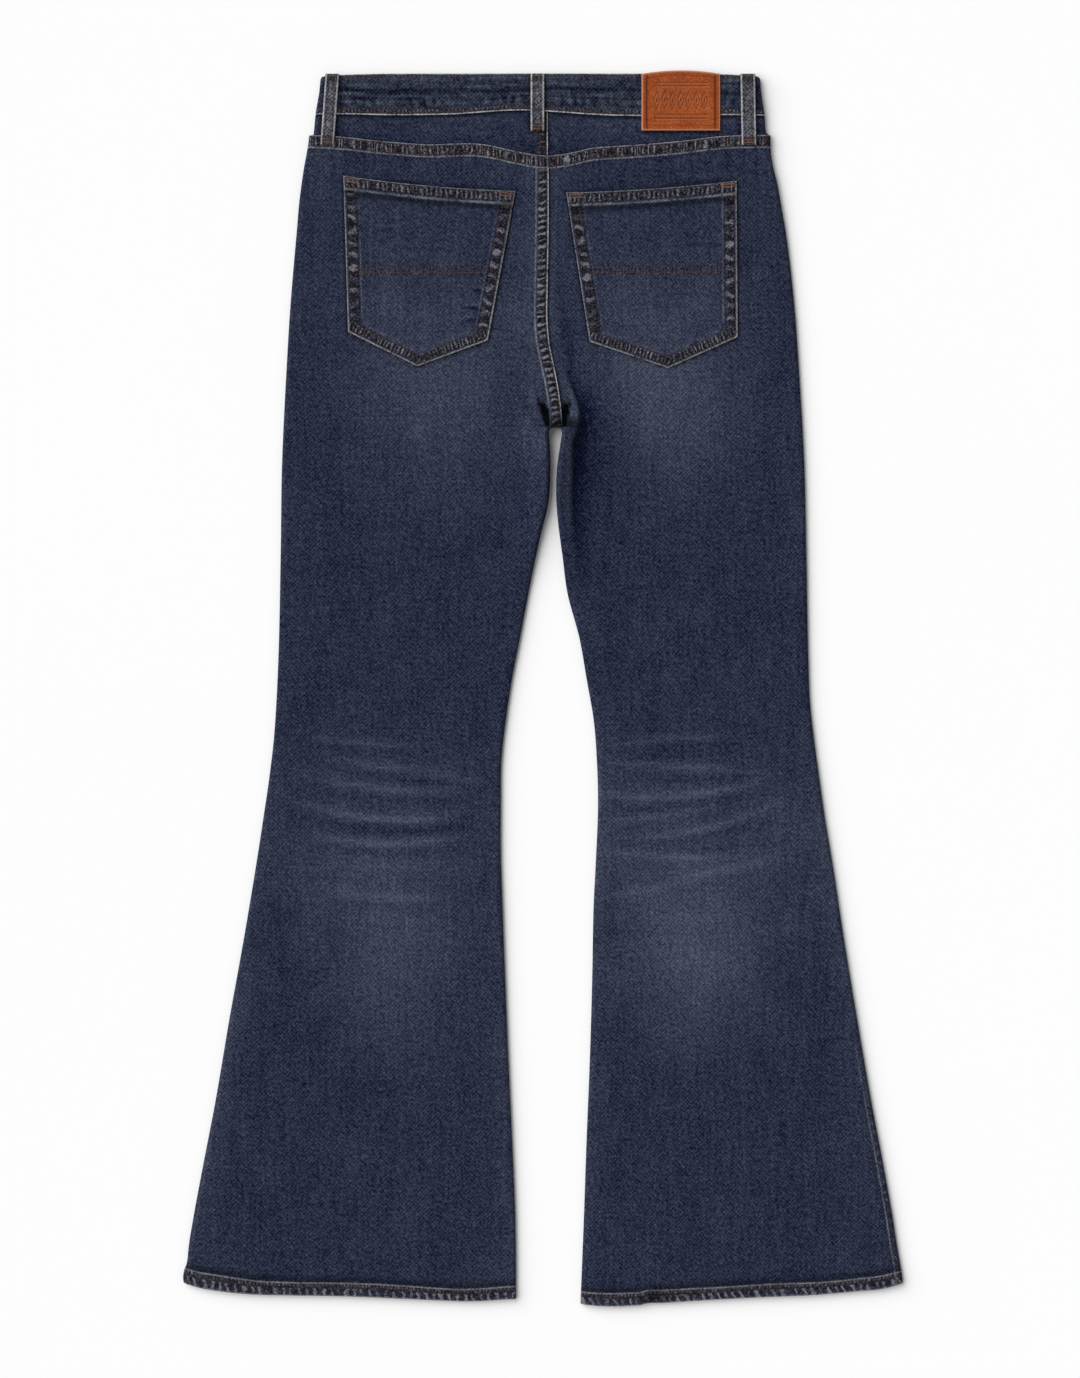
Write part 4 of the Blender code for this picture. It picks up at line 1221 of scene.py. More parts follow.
@dataclass(frozen=True)
class ThreadFinish:
    """Twisted sewing thread."""

    name: str
    colour: Colour
    pale: Colour

    def material(self) -> bpy.types.Material:
        """Build the finish.

        Returns:
            The material.
        """
        mix = Mixer(self.name, 0.7, 0.3)
        twist = mix.ribs(mix.turned(mix.stretch(mix.place, (2600, 2600, 2600)), 40))
        uneven = mix.noise((180, 180, 180), 0.0, 2.0)
        share = mix.add(0.4, mix.times(uneven, 1.6), mix.times(twist, 0.25))
        colour = mix.ramp(share, ((0.1, self.colour), (0.9, self.pale)))
        return mix.finish(colour, twist, 0.00008)


@dataclass(frozen=True)
class LeatherFinish:
    """Smooth cognac leather with fine grain and a burnished edge."""

    name: str = "cognac_leather"
    plain: Colour = srgb(146, 69, 29)
    dark: Colour = srgb(88, 36, 12)
    pale: Colour = srgb(182, 100, 54)
    rubbed_and_highlight: Colour = srgb(206, 142, 108)

    def material(self) -> bpy.types.Material:
        """Build the finish.

        Returns:
            The material.
        """
        mix = Mixer(self.name, 0.7, 0.1)
        grain = mix.noise((700, 560, 700), 0.0, 3.0, 0.7)
        cloud = mix.noise((60, 60, 60), 0.0, 2.0)
        tone = mix.add(0.5, mix.times(grain, 1.5), mix.times(cloud, 0.4))
        colour = mix.ramp(tone, ((0.05, self.dark), (0.5, self.plain), (0.95, self.pale)))
        colour = mix.blend(mix.attribute("shade"), colour, self.dark)
        # the rubbed edge, and a painted highlight beside the pressed motif
        colour = mix.blend(mix.attribute("worn"), colour, self.rubbed_and_highlight)
        return mix.finish(colour, grain, 0.00025)


@dataclass(frozen=True)
class MetalFinish:
    """Aged plated metal."""

    name: str
    bright: Colour
    tarnish: Colour

    def material(self) -> bpy.types.Material:
        """Build the finish.

        Returns:
            The material.
        """
        mix = Mixer(self.name, 0.38, 0.5)
        mix.surface["Metallic"].default_value = 1.0
        cloud = mix.noise((420, 420, 420), 0.0, 3.0)
        colour = mix.ramp(mix.add(0.5, cloud), ((0.3, self.tarnish), (0.6, self.bright)))
        return mix.finish(colour, cloud, 0.0001)


@dataclass(frozen=True)
class TapeFinish:
    """Woven zip tape."""

    name: str = "woven_tape"
    dark: Colour = srgb(30, 33, 46)
    pale: Colour = srgb(62, 66, 84)

    def material(self) -> bpy.types.Material:
        """Build the finish.

        Returns:
            The material.
        """
        mix = Mixer(self.name, 0.85, 0.2)
        place = mix.stretch(mix.place, (1100, 1100, 1))
        weave = mix.times(mix.add(*(mix.ribs(mix.turned(place, turn)) for turn in (45, -45))), 0.5)
        return mix.finish(mix.ramp(weave, ((0.1, self.dark), (0.9, self.pale))), weave, 0.0002)


# Leg panels


class Grid(NamedTuple):
    """Places of a panel's grid, in rows down the garment."""

    across: Array
    down: Array
    share: Array
    from_seam: Array
    leg: Array
    rolled: Array


@dataclass
class PanelCutter:
    """Lays out the grid of a leg panel, or of a narrow strip, between its edges."""

    draft: Draft
    side: Side
    face: Face
    step_across: float = 3.2
    step_down: float = 4.0
    lip_low: float = 0.15
    lip_high: float = 0.8
    crotch_from: float = 318.0
    crotch_step: float = 1.3
    legs_from: float = 346.5
    strip_taper: float = 60.0
    rounds: int = 5
    back_rows: tuple[float, ...] = (0, 0.4, 0.9, 1.8, 3.2, 5.0, 7.0, 8.2, 8.8, 9.4, 10.2, 10.8, 11.4,
                                    12.2, 13.4, 15.5, 18.5)
    front_rows: tuple[float, ...] = (0, 0.5, 1.2, 2.4, 4.5, 7.5, 11.0, 15.0)
    arch_rows: tuple[float, ...] = (333.3, 334.0, 335.2, 336.8, 339.0, 341.0, 343.5)
    hem_rows: tuple[float, ...] = (17.0, 15.0, 13.6, 12.8, 12.3, 11.8, 11.2, 10.3, 8.8, 7.0, 5.2,
                                   3.5, 2.0, 0.9, 0.3, 0.0)
    edge_steps: tuple[float, ...] = (0.0, 0.0, 0.25, 0.6, 1.1, 1.8, 2.7, 3.7, 4.6, 6.0, 7.6, 9.2,
                                     10.8, 12.4, 14.0, 15.8, 17.6, 19.6, 21.8)
    band_steps: tuple[float, ...] = (0.0, 0.35, 0.8, 1.4, 2.4, 4.4, 6.5, 8.8, 11.0, 12.2, 12.9,
                                     13.4, 14.0, 14.8, 15.8, 17.0, 18.4, 20.0, 21.8)

    def levels(self) -> Array:
        """Choose the levels of the rows.

        Returns:
            The levels, closer together at seams, at the crotch and at the hem.
        """
        draft = self.draft
        if self.face is Face.BACK:
            first = draft.yoke_level + np.array(self.back_rows)
        else:
            first = draft.scoop_level + np.array(self.front_rows)
        body = np.arange(first[-1] + self.step_down, self.crotch_from, self.step_down)
        crotch = np.arange(self.crotch_from, draft.crotch_top - 0.3, self.crotch_step)
        legs = np.arange(self.legs_from, draft.hem_level - 19.0, self.step_down)
        hem = draft.hem_level - np.array(self.hem_rows)
        return np.concatenate([first, body, crotch, [draft.crotch_top], self.arch_rows, legs, hem])

    def row_down(self, level: Array, across: Array, share: Array) -> Array:
        """Give the level of rows at places: along the top edge, level, then along the hem.

        Args:
            level: The rows' levels.
            across: Places across the garment.
            share: Shares of the panel's width.

        Returns:
            The places down the garment.
        """
        draft = self.draft
        if self.face is Face.BACK:
            rise = draft.yoke_line(across) + draft.seam_gap / 2 - draft.yoke_level
            held, fade = draft.yoke_level + draft.yoke_band + 0.7, 140.0
        else:
            rise = draft.front_top(across, share) - draft.scoop_level
            held, fade = draft.scoop_level, 250.0
        top = 1 - np.clip((level - held) / fade, 0.0, 1.0)
        bottom = 1 - np.clip((draft.hem_level - draft.hem_band - 1.0 - level) / 150.0, 0.0, 1.0)
        uneven = np.clip((draft.hem_level - level) / draft.hem_band, 0.0, 1.0)
        drop = draft.hem_line(across) - draft.hem_level - uneven * Line(draft.hem_uneven)(across)
        return level + top * rise + bottom * drop

    def settled(self, edge: Callable[[Array], Array], level: Array, share: float) -> Array:
        """Give the across of the rows' ends on an edge.

        Args:
            edge: The edge's across, by the level.
            level: The rows' levels.
            share: The edge's share of the panel's width.

        Returns:
            The across of each row's end.
        """
        across = edge(level)
        for _ in range(self.rounds):
            across = edge(self.row_down(level, across, np.full_like(level, share)))
        return across

    def outer_ends(self, level: Array) -> Array:
        """Across of the rows' ends on the silhouette."""
        return self.settled(lambda down: self.draft.outer(self.side, down), level, 0.0)

    def grid(self) -> Grid:
        """Lay out the grid.

        Returns:
            The places, with the last columns at the rolled inseam or at the centre seam.
        """
        level = self.levels()
        outer = self.outer_ends(level)
        inner = self.settled(lambda down: self.draft.inner(self.side, self.face, down), level, 1.0)
        width = np.abs(inner - outer)
        leg = level >= self.draft.crotch_top
        count = max(int(round(width.max() / self.step_across)), 8)
        steps = np.array(self.edge_steps)
        narrow = (self.draft.seat_width(level) / self.draft.seat_band)[:, None]
        ends = np.where(leg[:, None], steps[::-1][None, :],
                        np.array(self.band_steps)[::-1][None, :] * narrow)
        start = steps[-1] / width
        stop = 1 - ends[:, 0] / width
        middle = start[:, None] + (stop - start)[:, None] * np.linspace(0, 1, count + 2)[1:-1]
        if self.face is Face.FRONT:
            middle = self.toward_scoop(middle, level)
        share = np.concatenate([steps[None, :] / width[:, None], middle,
                                1 - ends / width[:, None]], axis=1)
        across = outer[:, None] + (inner - outer)[:, None] * share
        rolled = self.rolled(across)
        rolled[leg, -2:] = 2.0, 1.0
        return Grid(across, self.row_down(level[:, None], across, share), share,
                    (1 - share) * width[:, None], np.broadcast_to(leg[:, None], across.shape), rolled)

    def toward_scoop(self, middle: Array, level: Array) -> Array:
        """Draw the columns towards the steep end of the pocket's scoop.

        Args:
            middle: Shares of the width, row by row.
            level: The rows' levels.

        Returns:
            The shares, drawn in less and less down the panel.
        """
        pull = 1 - np.clip((level - self.draft.scoop_level) / 90.0, 0.0, 1.0)
        away = middle - self.draft.scoop_share
        return middle - 0.75 * away * bell(away, 0.10) * pull[:, None]

    def strip(self, edge: tuple[Array, Array], row: Array, top: Callable[[Array], Array]) -> Grid:
        """Lay out a narrow piece between a line and the edge below it.

        Args:
            edge: Across and down of its lower edge, from the silhouette inwards.
            row: The rows' shares of the way down.
            top: Level of its upper edge, by the across.

        Returns:
            The places, with nothing known of the centre seam.
        """
        edge_across, edge_down = edge
        beside = np.maximum(1 - np.abs(edge_across - edge_across[0]) / self.strip_taper, 0.0)
        across = down = np.broadcast_to(edge_across, (len(row), len(edge_across)))
        for _ in range(self.rounds):
            upper = top(across)
            down = upper + (edge_down - self.draft.seam_gap - upper) * row
            across = edge_across + (self.draft.outer(self.side, down) - edge_across[0]) * beside
        return Grid(across, down, across, across, np.zeros(across.shape, bool), self.rolled(across))

    def rolled(self, across: Array) -> Array:
        """Mark the two columns of the silhouette's roll.

        Args:
            across: Places across the garment.

        Returns:
            1 and 2 in these columns, 0 elsewhere.
        """
        rolled = np.zeros_like(across)
        rolled[:, :2] = 1.0, 2.0
        return rolled

    def flat(self, grid: Grid) -> Array:
        """Say where the cloth lies level: 0 on the rolled edges to 1."""
        return np.where(grid.rolled > 0, 0.0, self.draft.flatness(self.side, grid.across, grid.down))

    def depth(self, grid: Grid, drop: float = 0.0) -> Array:
        """Distance of the wall's outer face from the silhouette's seam.

        Args:
            grid: The panel's places.
            drop: How much nearer to the seam a recessed piece lies.

        Returns:
            The distances.
        """
        half = self.draft.half(grid.across, grid.down) - drop
        flat = self.draft.flatness(self.side, grid.across, grid.down)
        depth = np.maximum(half * flat, self.lip_low)
        depth = np.where(grid.rolled == 2.0, np.maximum(depth, self.lip_high), depth)
        return np.where(grid.rolled == 1.0, self.lip_low, depth)


@dataclass
class BackPanel(ClothPiece):
    """Back of one leg, from the yoke seam to the hem."""

    side: Side
    wear_and_shade: WearAndShadeMap
    pockets: Sequence["BackPocket"]
    roping: float = 0.3
    roping_period: float = 8.2
    hem_lap: float = 100.0
    pit_top: float = 303.0
    pit_reach: float = 10.4
    pit_sink: float = 2.5

    def relief(self, grid: Grid) -> tuple[Array, Array]:
        """Give the rise of seams and hem, and how much thicker the hem is.

        Args:
            grid: The panel's places.

        Returns:
            The rise of the outer face, and the growth of the inner one.
        """
        draft = self.draft
        rise = draft.felled(grid.down - draft.yoke_line(grid.across), draft.yoke_band)
        if self.side is Side.LEFT:
            seat = draft.felled(grid.from_seam, draft.seat_width(grid.down))
            rise = np.maximum(rise, seat * (~grid.leg))
        above = draft.hem_depth(grid.across, grid.down)
        hem = draft.hem_mask(above)
        run = above * 0.9 - grid.across * self.side.value
        twist = np.sin(2 * np.pi * run / self.roping_period + 1.4 * np.sin(grid.across / 31.0))
        rope = self.roping * twist * bell(above - 4.0, 3.6)
        stitch = 0.22 * bell(above - 9.6, 1.0)
        rise = rise - self.pit_sink * self.pit(grid) + hem * (draft.hem_rise + rope - stitch)
        return rise, hem * (draft.hem_wall - draft.wall - draft.hem_rise)

    def pit(self, grid: Grid) -> Array:
        """Give the fold where the cloth dives beside the seat seam at the crotch, sunk in the relief and
        dark with painted shade.

        Args:
            grid: The panel's places.

        Returns:
            Its strength, from 0 to 1.
        """
        left = self.side is Side.LEFT
        beyond = grid.from_seam - (self.draft.seat_width(grid.down) if left else 0.0)
        reach = self.pit_reach - (0.22 if left else 0.28) * (grid.down - 312.0)
        lead = np.clip(8.0 - 1.1 * (grid.down - 306.5), 0.0, 8.0)
        inside = ease((reach - beyond) / 2.2) * ease((beyond - lead + 0.9) / 1.2)
        return inside * ease((grid.down - self.pit_top) / 8.0) * (~grid.leg)

    def marks(self, grid: Grid) -> SeamMarksAndShade:
        """Mark the seams on the cloth, with painted shade beside them, round the pockets and in the
        crotch's pits.

        Args:
            grid: The panel's places.

        Returns:
            The marks.
        """
        draft, left = self.draft, self.side is Side.LEFT
        marks = SeamMarksAndShade(grid.across)
        width = draft.yoke_band
        below = grid.down - draft.yoke_line(grid.across)
        uneven = grid.across + 1.4 * np.sin(grid.across / 2.3) + 2.2 * np.sin(grid.across / 7.7 + 1)
        marks.band(below - 0.8, uneven, width - 1.6, 3.9, 0.97, 0.4, 0.84)
        marks.line(below - 0.5, 0.42)
        marks.line(below - width + 0.3, 0.44)
        # painted shade below the yoke's seam band
        marks.shade_beside(below - width - 1.6, 1.0, 0.10)
        above = draft.hem_depth(grid.across, grid.down)
        grey = 0.0 if left else bell(grid.across - 58.0, 32.0) ** 2
        marks.band(above + 1.2, grid.across, 9.8, 7.4, 0.80 - 0.3 * grey, 0.0, 1.0,
                   0.25 if left else 0.55)
        marks.band(above - 8.2, grid.across, 3.8, 3.4, 0.88, 0.5, 0.7)
        marks.line(above - draft.hem_band, 0.44)
        marks.line(above - 0.3, 0.34)
        # painted shadow above the hem's fold, and at the hem's lap on the right leg
        marks.shade_beside(above - draft.hem_band - 3.0, 3.0, 0.52)
        if not left:
            lap = grid.across - self.hem_lap - 0.35 * above
            marks.shade_beside(lap, 8.0, 0.62 * ease((draft.hem_band + 5.0 - above) / 4.0))
        for pocket in self.pockets:
            # painted shadow round the pockets
            marks.shade_beside(pocket.outside(grid.across, grid.down) - 0.3, 1.6, 0.7)
        self.mark_seat(marks, grid, (~grid.leg).astype(float), below)
        # painted shade in the crotch's pits
        marks.darken(0.93 * self.pit(grid))
        return marks

    def mark_seat(self, marks: SeamMarksAndShade, grid: Grid, seat: Array, below: Array) -> None:
        """Mark the seat seam and the side seam, with painted shade beside them and where the seat seam
        dives into the crotch.

        Args:
            marks: The marks so far.
            grid: The panel's places.
            seat: Mask of the places beside the seat seam.
            below: Distance below the yoke's seam.
        """
        if self.side is Side.LEFT:
            band = self.draft.seat_width(grid.down)
            low = ease((grid.down - 304.0) / 18.0)
            marks.band(grid.from_seam - 1.0, grid.down, band - 2.4, 6.0, 0.95 * seat, 0.2, 1.15, -0.4)
            # painted shade beside the seat seam's edge
            marks.shade_beside(grid.from_seam - 2.4, 1.0, 0.5 * seat)
            crossing = bell(below - 5.0, 5.0)
            marks.line(grid.from_seam - 0.4, 0.95 * seat * (1 - 0.7 * low - 0.75 * crossing))
            marks.bright = marks.bright + 0.7 * bell(grid.across + 14.0, 5.0) * bell(below - 8, 5.0)
            dim = 0.30 + 0.16 * ease((grid.down - 180.0) / 100.0)
            marks.line(grid.from_seam - band + 0.6, dim * seat * (1 - 0.8 * low))
            self.outseam(marks, grid, 3.4, 0.12)
        else:
            # painted shade beside the seat seam, and where it meets the yoke by the centre loop
            marks.shade_beside(grid.from_seam - 0.6, 1.3, 0.6 * seat)
            marks.shade_beside(np.hypot(grid.from_seam, below - 5.0), 5.5, 0.6)
            self.outseam(marks, grid, 6.0, 0.6)
        # painted shade where the seat seam dives into the crotch
        marks.darken(0.92 * seat * ease((grid.down - 319.0) / 10.0) * bell(grid.from_seam, 15.0))

    def outseam(self, marks: SeamMarksAndShade, grid: Grid, inset: float, strength: float) -> None:
        """Mark the side seam where it rolls onto the back of the lower leg, with painted shade beside it.

        Args:
            marks: The marks so far.
            grid: The panel's places.
            inset: How far inside the edge the seam's line runs.
            strength: How strongly it shows.
        """
        outside = self.side.value * (self.draft.outer(self.side, grid.down) - grid.across)
        lower = strength * ease((grid.down - 880.0) / 160.0)
        marks.line(outside - inset, 0.45 * lower)
        # painted shade beside the rolled side seam
        marks.shade_beside(outside - inset - 2.6, 2.6, 0.35 * lower)
        marks.band(outside - 0.6, grid.down, inset - 1.0, 9.0, 0.7 * lower, 0.1, 0.7)
        hip = strength * bell(grid.down - 205.0, 75.0)
        marks.band(outside - 0.8, grid.down, 5.0, 16.0, 0.35 * hip, 0.0, 0.6)

    def form(self) -> Form:
        """Shape the panel.

        Returns:
            Its outer face, its thickness and its marks.
        """
        draft = self.draft
        cutter = PanelCutter(draft, self.side, Face.BACK)
        grid = cutter.grid()
        across, down = grid.across, grid.down
        flat = cutter.flat(grid)
        rise, inside = self.relief(grid)
        # the fade includes the fold's painted light and shade on the right half
        creased, fade = self.wear_and_shade.wear_and_shade(self.side, across, down)
        height = draft.middle_height(across, down) + cutter.depth(grid) + flat * (rise + creased)
        above = draft.hem_depth(across, down)
        fade = fade + 0.7 * bell(above - 1.8, 2.4) + 0.25 * ease(draft.hem_band - above)
        edge = bell(draft.edge_distance(self.side, across, down), 15.0)
        fade = fade + 0.32 * edge * ease((down - 560.0) / 150.0)
        return Form(across, down, height, draft.wall + flat * (rise + inside),
                    *self.marks(grid).dressing(fade))


@dataclass
class FrontPanel(ClothPiece):
    """Front of one leg, from the waistband and the pocket's scoop to the hem."""

    side: Side
    wear_and_shade: WearAndShadeMap
    up: ClassVar[int] = -1

    def marks(self, grid: Grid) -> SeamMarksAndShade:
        """Mark the scoop, the fly, the side seam and the hem.

        Args:
            grid: The panel's places.

        Returns:
            The marks.
        """
        draft = self.draft
        marks = SeamMarksAndShade(grid.across)
        below = grid.down - draft.front_top(grid.across, grid.share)
        marks.line(below - 0.6, 0.6)
        marks.band(below - 1.0, grid.across, 7.0, 5.0, 0.5, 0.5, 0.7)
        above = draft.hem_depth(grid.across, grid.down)
        marks.band(above - 8.4, grid.across, 3.2, 5.0, 0.85, 0.9, 0.5)
        marks.line(above - draft.hem_band, 0.6)
        seat = (~grid.leg).astype(float)
        marks.line(grid.from_seam - 0.5, 0.5 * seat)
        marks.band(grid.from_seam - 0.8, grid.down, 5.0, 5.0, 0.6 * seat, 0.4, 0.7)
        if self.side is Side.LEFT:
            fly = grid.across - draft.fly_edge(grid.down)
            above_foot = ease((draft.fly_bend + draft.fly_foot - grid.down) / 3.0)
            marks.band(fly + 1.5, grid.down, 9.0, 5.0, 0.75 * above_foot, 0.8, 0.8)
            marks.line(fly + 2.2, 0.35 * above_foot)
        return marks

    def form(self) -> Form:
        """Shape the panel.

        Returns:
            Its outer face, its thickness and its marks.
        """
        draft = self.draft
        cutter = PanelCutter(draft, self.side, Face.FRONT, step_across=6.0, step_down=7.0)
        grid = cutter.grid()
        across, down = grid.across, grid.down
        hem = draft.hem_mask(draft.hem_depth(across, down))
        thickness = draft.wall + cutter.flat(grid) * hem * (draft.hem_wall - draft.wall)
        # the fade includes the fold's painted light and shade on the right half
        fade = 0.8 * self.wear_and_shade.wear_and_shade(self.side, across, down)[1]
        return Form(across, down, draft.middle_height(across, down) - cutter.depth(grid), thickness,
                    *self.marks(grid).dressing(fade))


@dataclass
class PocketFacing(ClothPiece):
    """Cloth that shows in one front pocket's scoop."""

    side: Side
    recess: float = 0.5
    inner_level: float = 70.0
    reach: float = 0.985
    rows: int = 30
    columns: int = 40
    up: ClassVar[int] = -1

    def form(self) -> Form:
        """Shape the facing.

        Returns:
            Its outer face, its thickness and its marks.
        """
        draft = self.draft
        cutter = PanelCutter(draft, self.side, Face.FRONT)
        outer = float(cutter.outer_ends(np.array([draft.scoop_level]))[0])
        inner = float(draft.inner(self.side, Face.FRONT, self.inner_level))
        steps = np.array(cutter.edge_steps) / abs(inner - outer)
        last = self.reach * draft.scoop_share
        share = np.concatenate([steps, np.linspace(steps[-1], last, self.columns)[1:]])
        edge_across = outer + (inner - outer) * share
        edge_down = draft.front_top(edge_across, share)
        grid = cutter.strip((edge_across, edge_down), np.linspace(0, 1, self.rows)[:, None],
                            lambda across: draft.front_top(across, np.ones_like(across)))
        across, down = grid.across, grid.down
        marks = SeamMarksAndShade(across)
        # painted shade under the front panel's scoop edge
        marks.shade_beside(edge_down - down, 4.0, 0.5)
        height = draft.middle_height(across, down) - cutter.depth(grid, self.recess)
        return Form(across, down, height, draft.wall, *marks.dressing(np.zeros_like(across)))


@dataclass
class Yoke(ClothPiece):
    """One half of the back yoke."""

    side: Side
    rows: int = 26
    loop_shadows: tuple[Point, ...] = ((-6.1, 59.0), (-200.5, 90.0), (190.6, 90.0))
    patch_middle: float = 127.7
    patch_half: float = 37.5
    patch_foot: float = 57.4

    def form(self) -> Form:
        """Shape the half.

        Returns:
            Its outer face, its thickness and its marks.
        """
        draft = self.draft
        cutter = PanelCutter(draft, self.side, Face.BACK, step_across=2.6)
        below = cutter.grid()
        edge_down = below.down[0]
        row = (1 - np.cos(np.linspace(0, math.pi, self.rows)))[:, None] / 2
        grid = cutter.strip((below.across[0], edge_down), row,
                            lambda across: draft.band_line(across) + draft.seam_gap)
        across, down = grid.across, grid.down
        from_seam = np.broadcast_to(below.from_seam[0], across.shape)
        rise = np.zeros_like(across)
        marks = SeamMarksAndShade(across)
        if self.side is Side.LEFT:
            rise = cutter.flat(grid) * draft.felled(from_seam, draft.seat_band)
            marks.band(from_seam - 1.0, down, draft.seat_band - 2.4, 5.0, 0.98, 0.4, 0.6)
            # painted shade beside the seat seam's edges
            marks.shade_beside(from_seam - 2.4, 1.0, 0.7)
            marks.line(from_seam - 0.4, 0.80)
            marks.shade_beside(from_seam - draft.seat_band - 1.5, 1.6, 0.4)
        else:
            # painted shade beside the seat seam
            marks.shade_beside(from_seam - 0.6, 1.2, 0.5)
        # painted shadow under the waistband, along the yoke's lower edge, beside the loops and under the
        # patch
        marks.shade_beside(down - draft.band_line(across) - 0.8, 2.2, 0.8)
        marks.shade_beside(edge_down - down - 0.4, 1.0, 0.4)
        for loop_across, loop_end in self.loop_shadows:
            beside = np.maximum(np.abs(across - loop_across) - 7.0, 0.0)
            marks.shade_beside(beside, 3.4, 0.62 * ease((loop_end - down) / 5.0))
        under_patch = (np.abs(across - self.patch_middle) < self.patch_half).astype(float)
        marks.shade_beside(down - self.patch_foot, 1.8, 0.65 * under_patch)
        fade = 0.22 + 0.12 * bell(across - 60.0, 90.0) - 0.35 * bell(down - edge_down, 9.0)
        fade = fade - 0.35 * bell(across - 3.7, 26.0) * bell(edge_down - down, 16.0)
        return Form(across, down, draft.middle_height(across, down) + cutter.depth(grid) + rise,
                    draft.wall + rise, *marks.dressing(fade))


# Waist


@dataclass
class Waistband(ClothPiece):
    """One strip all round, its ends lapped at the centre front."""

    rows: int = 24
    step: float = 2.0
    thickness: float = 2.0
    first_level: float = 5.0
    side_level: float = 22.0
    side_taper: float = 60.0
    lap_inner_end: float = -18.0
    lap_outer_end: float = 20.0
    lap_step: Point = (21.0, 29.0)
    lap_rise: float = 2.3
    loop_places: tuple[float, ...] = (-6.1, -197.5, 190.6)
    slot: ClassVar[str] = "waistband_denim"
    up: ClassVar[int] = -1
    # share down the band, reach, gain, drift: worn and dark streaks along it
    streaks: tuple[tuple[float, float, float, float], ...] = (
        (0.09, 0.045, 1.0, 0.2), (0.15, 0.03, 0.5, 0.3), (0.23, 0.04, 0.3, 0.5),
        (0.305, 0.04, 0.85, 0.8), (0.41, 0.045, -1.25, 0.8), (0.52, 0.035, 1.15, 0.8),
        (0.615, 0.03, -0.8, 0.7), (0.70, 0.05, 0.9, 0.7), (0.79, 0.03, -0.3, 0.5),
        (0.86, 0.03, 0.4, 0.3),
    )

    def stations(self) -> tuple[Array, ...]:
        """Lay out the strip's stations.

        Returns:
            Across, height share from front (0) to back (1), front share and lap rise.
        """
        draft, (lap_end, fall_end) = self.draft, self.lap_step
        left = float(draft.outer(Side.LEFT, self.side_level)) + draft.edge_round
        right = float(draft.outer(Side.RIGHT, self.side_level)) - draft.edge_round
        turn = np.linspace(-math.pi / 2, math.pi / 2, 15)
        fall = np.linspace(0, 1, 6)
        front_left = np.arange(left + self.step, self.lap_outer_end - 1, self.step)
        parts = (
            (np.arange(self.lap_inner_end, lap_end, self.step), 0.0, 1.0, self.lap_rise),
            (lap_end + (fall_end - lap_end) * fall, 0.0, 1.0, self.lap_rise * (1 - ease(fall))),
            (np.arange(fall_end + self.step, right, self.step), 0.0, 1.0, 0.0),
            (right + draft.edge_round * np.cos(turn), (1 + np.sin(turn)) / 2, 0.0, 0.0),
            (np.arange(right - self.step, left, -self.step), 1.0, 0.0, 0.0),
            (left - draft.edge_round * np.cos(turn), (1 - np.sin(turn)) / 2, 0.0, 0.0),
            (np.append(front_left, self.lap_outer_end), 0.0, 1.0, 0.0),
        )
        return tuple(np.concatenate([np.broadcast_to(part[column], part[0].shape)
                                     for part in parts]) for column in range(4))

    def marks(self, across: Array, row: Array, up: Array) -> SeamMarksAndShade:
        """Mark the sewn edges, and paint shade beside the loops.

        Args:
            across: Places across the garment.
            row: Shares down the band.
            up: Shares of the way from the front up to the back.

        Returns:
            The marks.
        """
        marks = SeamMarksAndShade(across)
        from_top = row * self.draft.band_depth + np.zeros_like(across)
        from_low = self.draft.band_depth - from_top
        marks.band(from_low - 1.6, across, 4.0, 3.6, 0.85, 1.0, 0.75)
        marks.band(from_top - 0.4, across, 2.8, 3.6, 0.5, 0.9, 0.6)
        marks.line(from_low - 0.4, 0.95)
        marks.line(from_top - 0.1, 0.5)
        # painted shadow beside the back loops
        for place in self.loop_places:
            marks.shade_beside(np.abs(across - place) - 7.6, 1.6, 0.6 * (up > 0.9))
        return marks

    def form(self) -> Form:
        """Shape the band.

        Returns:
            Its outer face, its thickness and its marks.
        """
        draft = self.draft
        base, up, front, rise = self.stations()
        row = (1 - np.cos(np.linspace(0, math.pi, self.rows)))[:, None] / 2
        across = base + 0 * row
        for side in Side:
            middle = draft.outer(side, self.side_level)
            near = np.clip(1 - np.abs(base - middle) / self.side_taper, 0.0, 1.0)
            across += (draft.outer(side, self.first_level + draft.band_depth * row) - middle) * near
        top = draft.waist_edge(across)
        down = top + (draft.band_line(across) - top) * row + front * draft.dip(across)
        low = draft.front_height(across, down)
        high = draft.back_height(across, down) + draft.band_proud
        stitched = bell(row - 0.06, 0.025) + bell(row - 0.93, 0.025)
        pillow = 0.18 * np.sin(math.pi * row) - 0.16 * stitched
        wave = 0.14 * np.sin(across / 9.0 + 2.0 * np.sin(across / 37.0)) * bell(row - 0.5, 0.3)
        flat = 4 * (up - 0.5) ** 2 * (up > 0.5)
        height = low + (high - low) * up + rise + (pillow + wave) * flat
        drift = 0.035 * np.sin(across / 43.0) + 0.025 * np.sin(across / 17.0 + 1.0)
        fade = sum(gain * bell(row - level + drift * share, reach)
                   for level, reach, gain, share in self.streaks)
        patches = 0.7 + 0.3 * np.sin(across / 13.0 + 5.0 * row) * np.sin(across / 31.0 + 1.7)
        columns = np.sin(across / 1.6 + np.sin(across / 5.3)) * np.sin(across / 23.0)
        fade = fade * patches + 0.9 * columns * bell(row - 0.70, 0.10)
        return Form(across, down, height, self.thickness, *self.marks(across, row, up).dressing(fade))


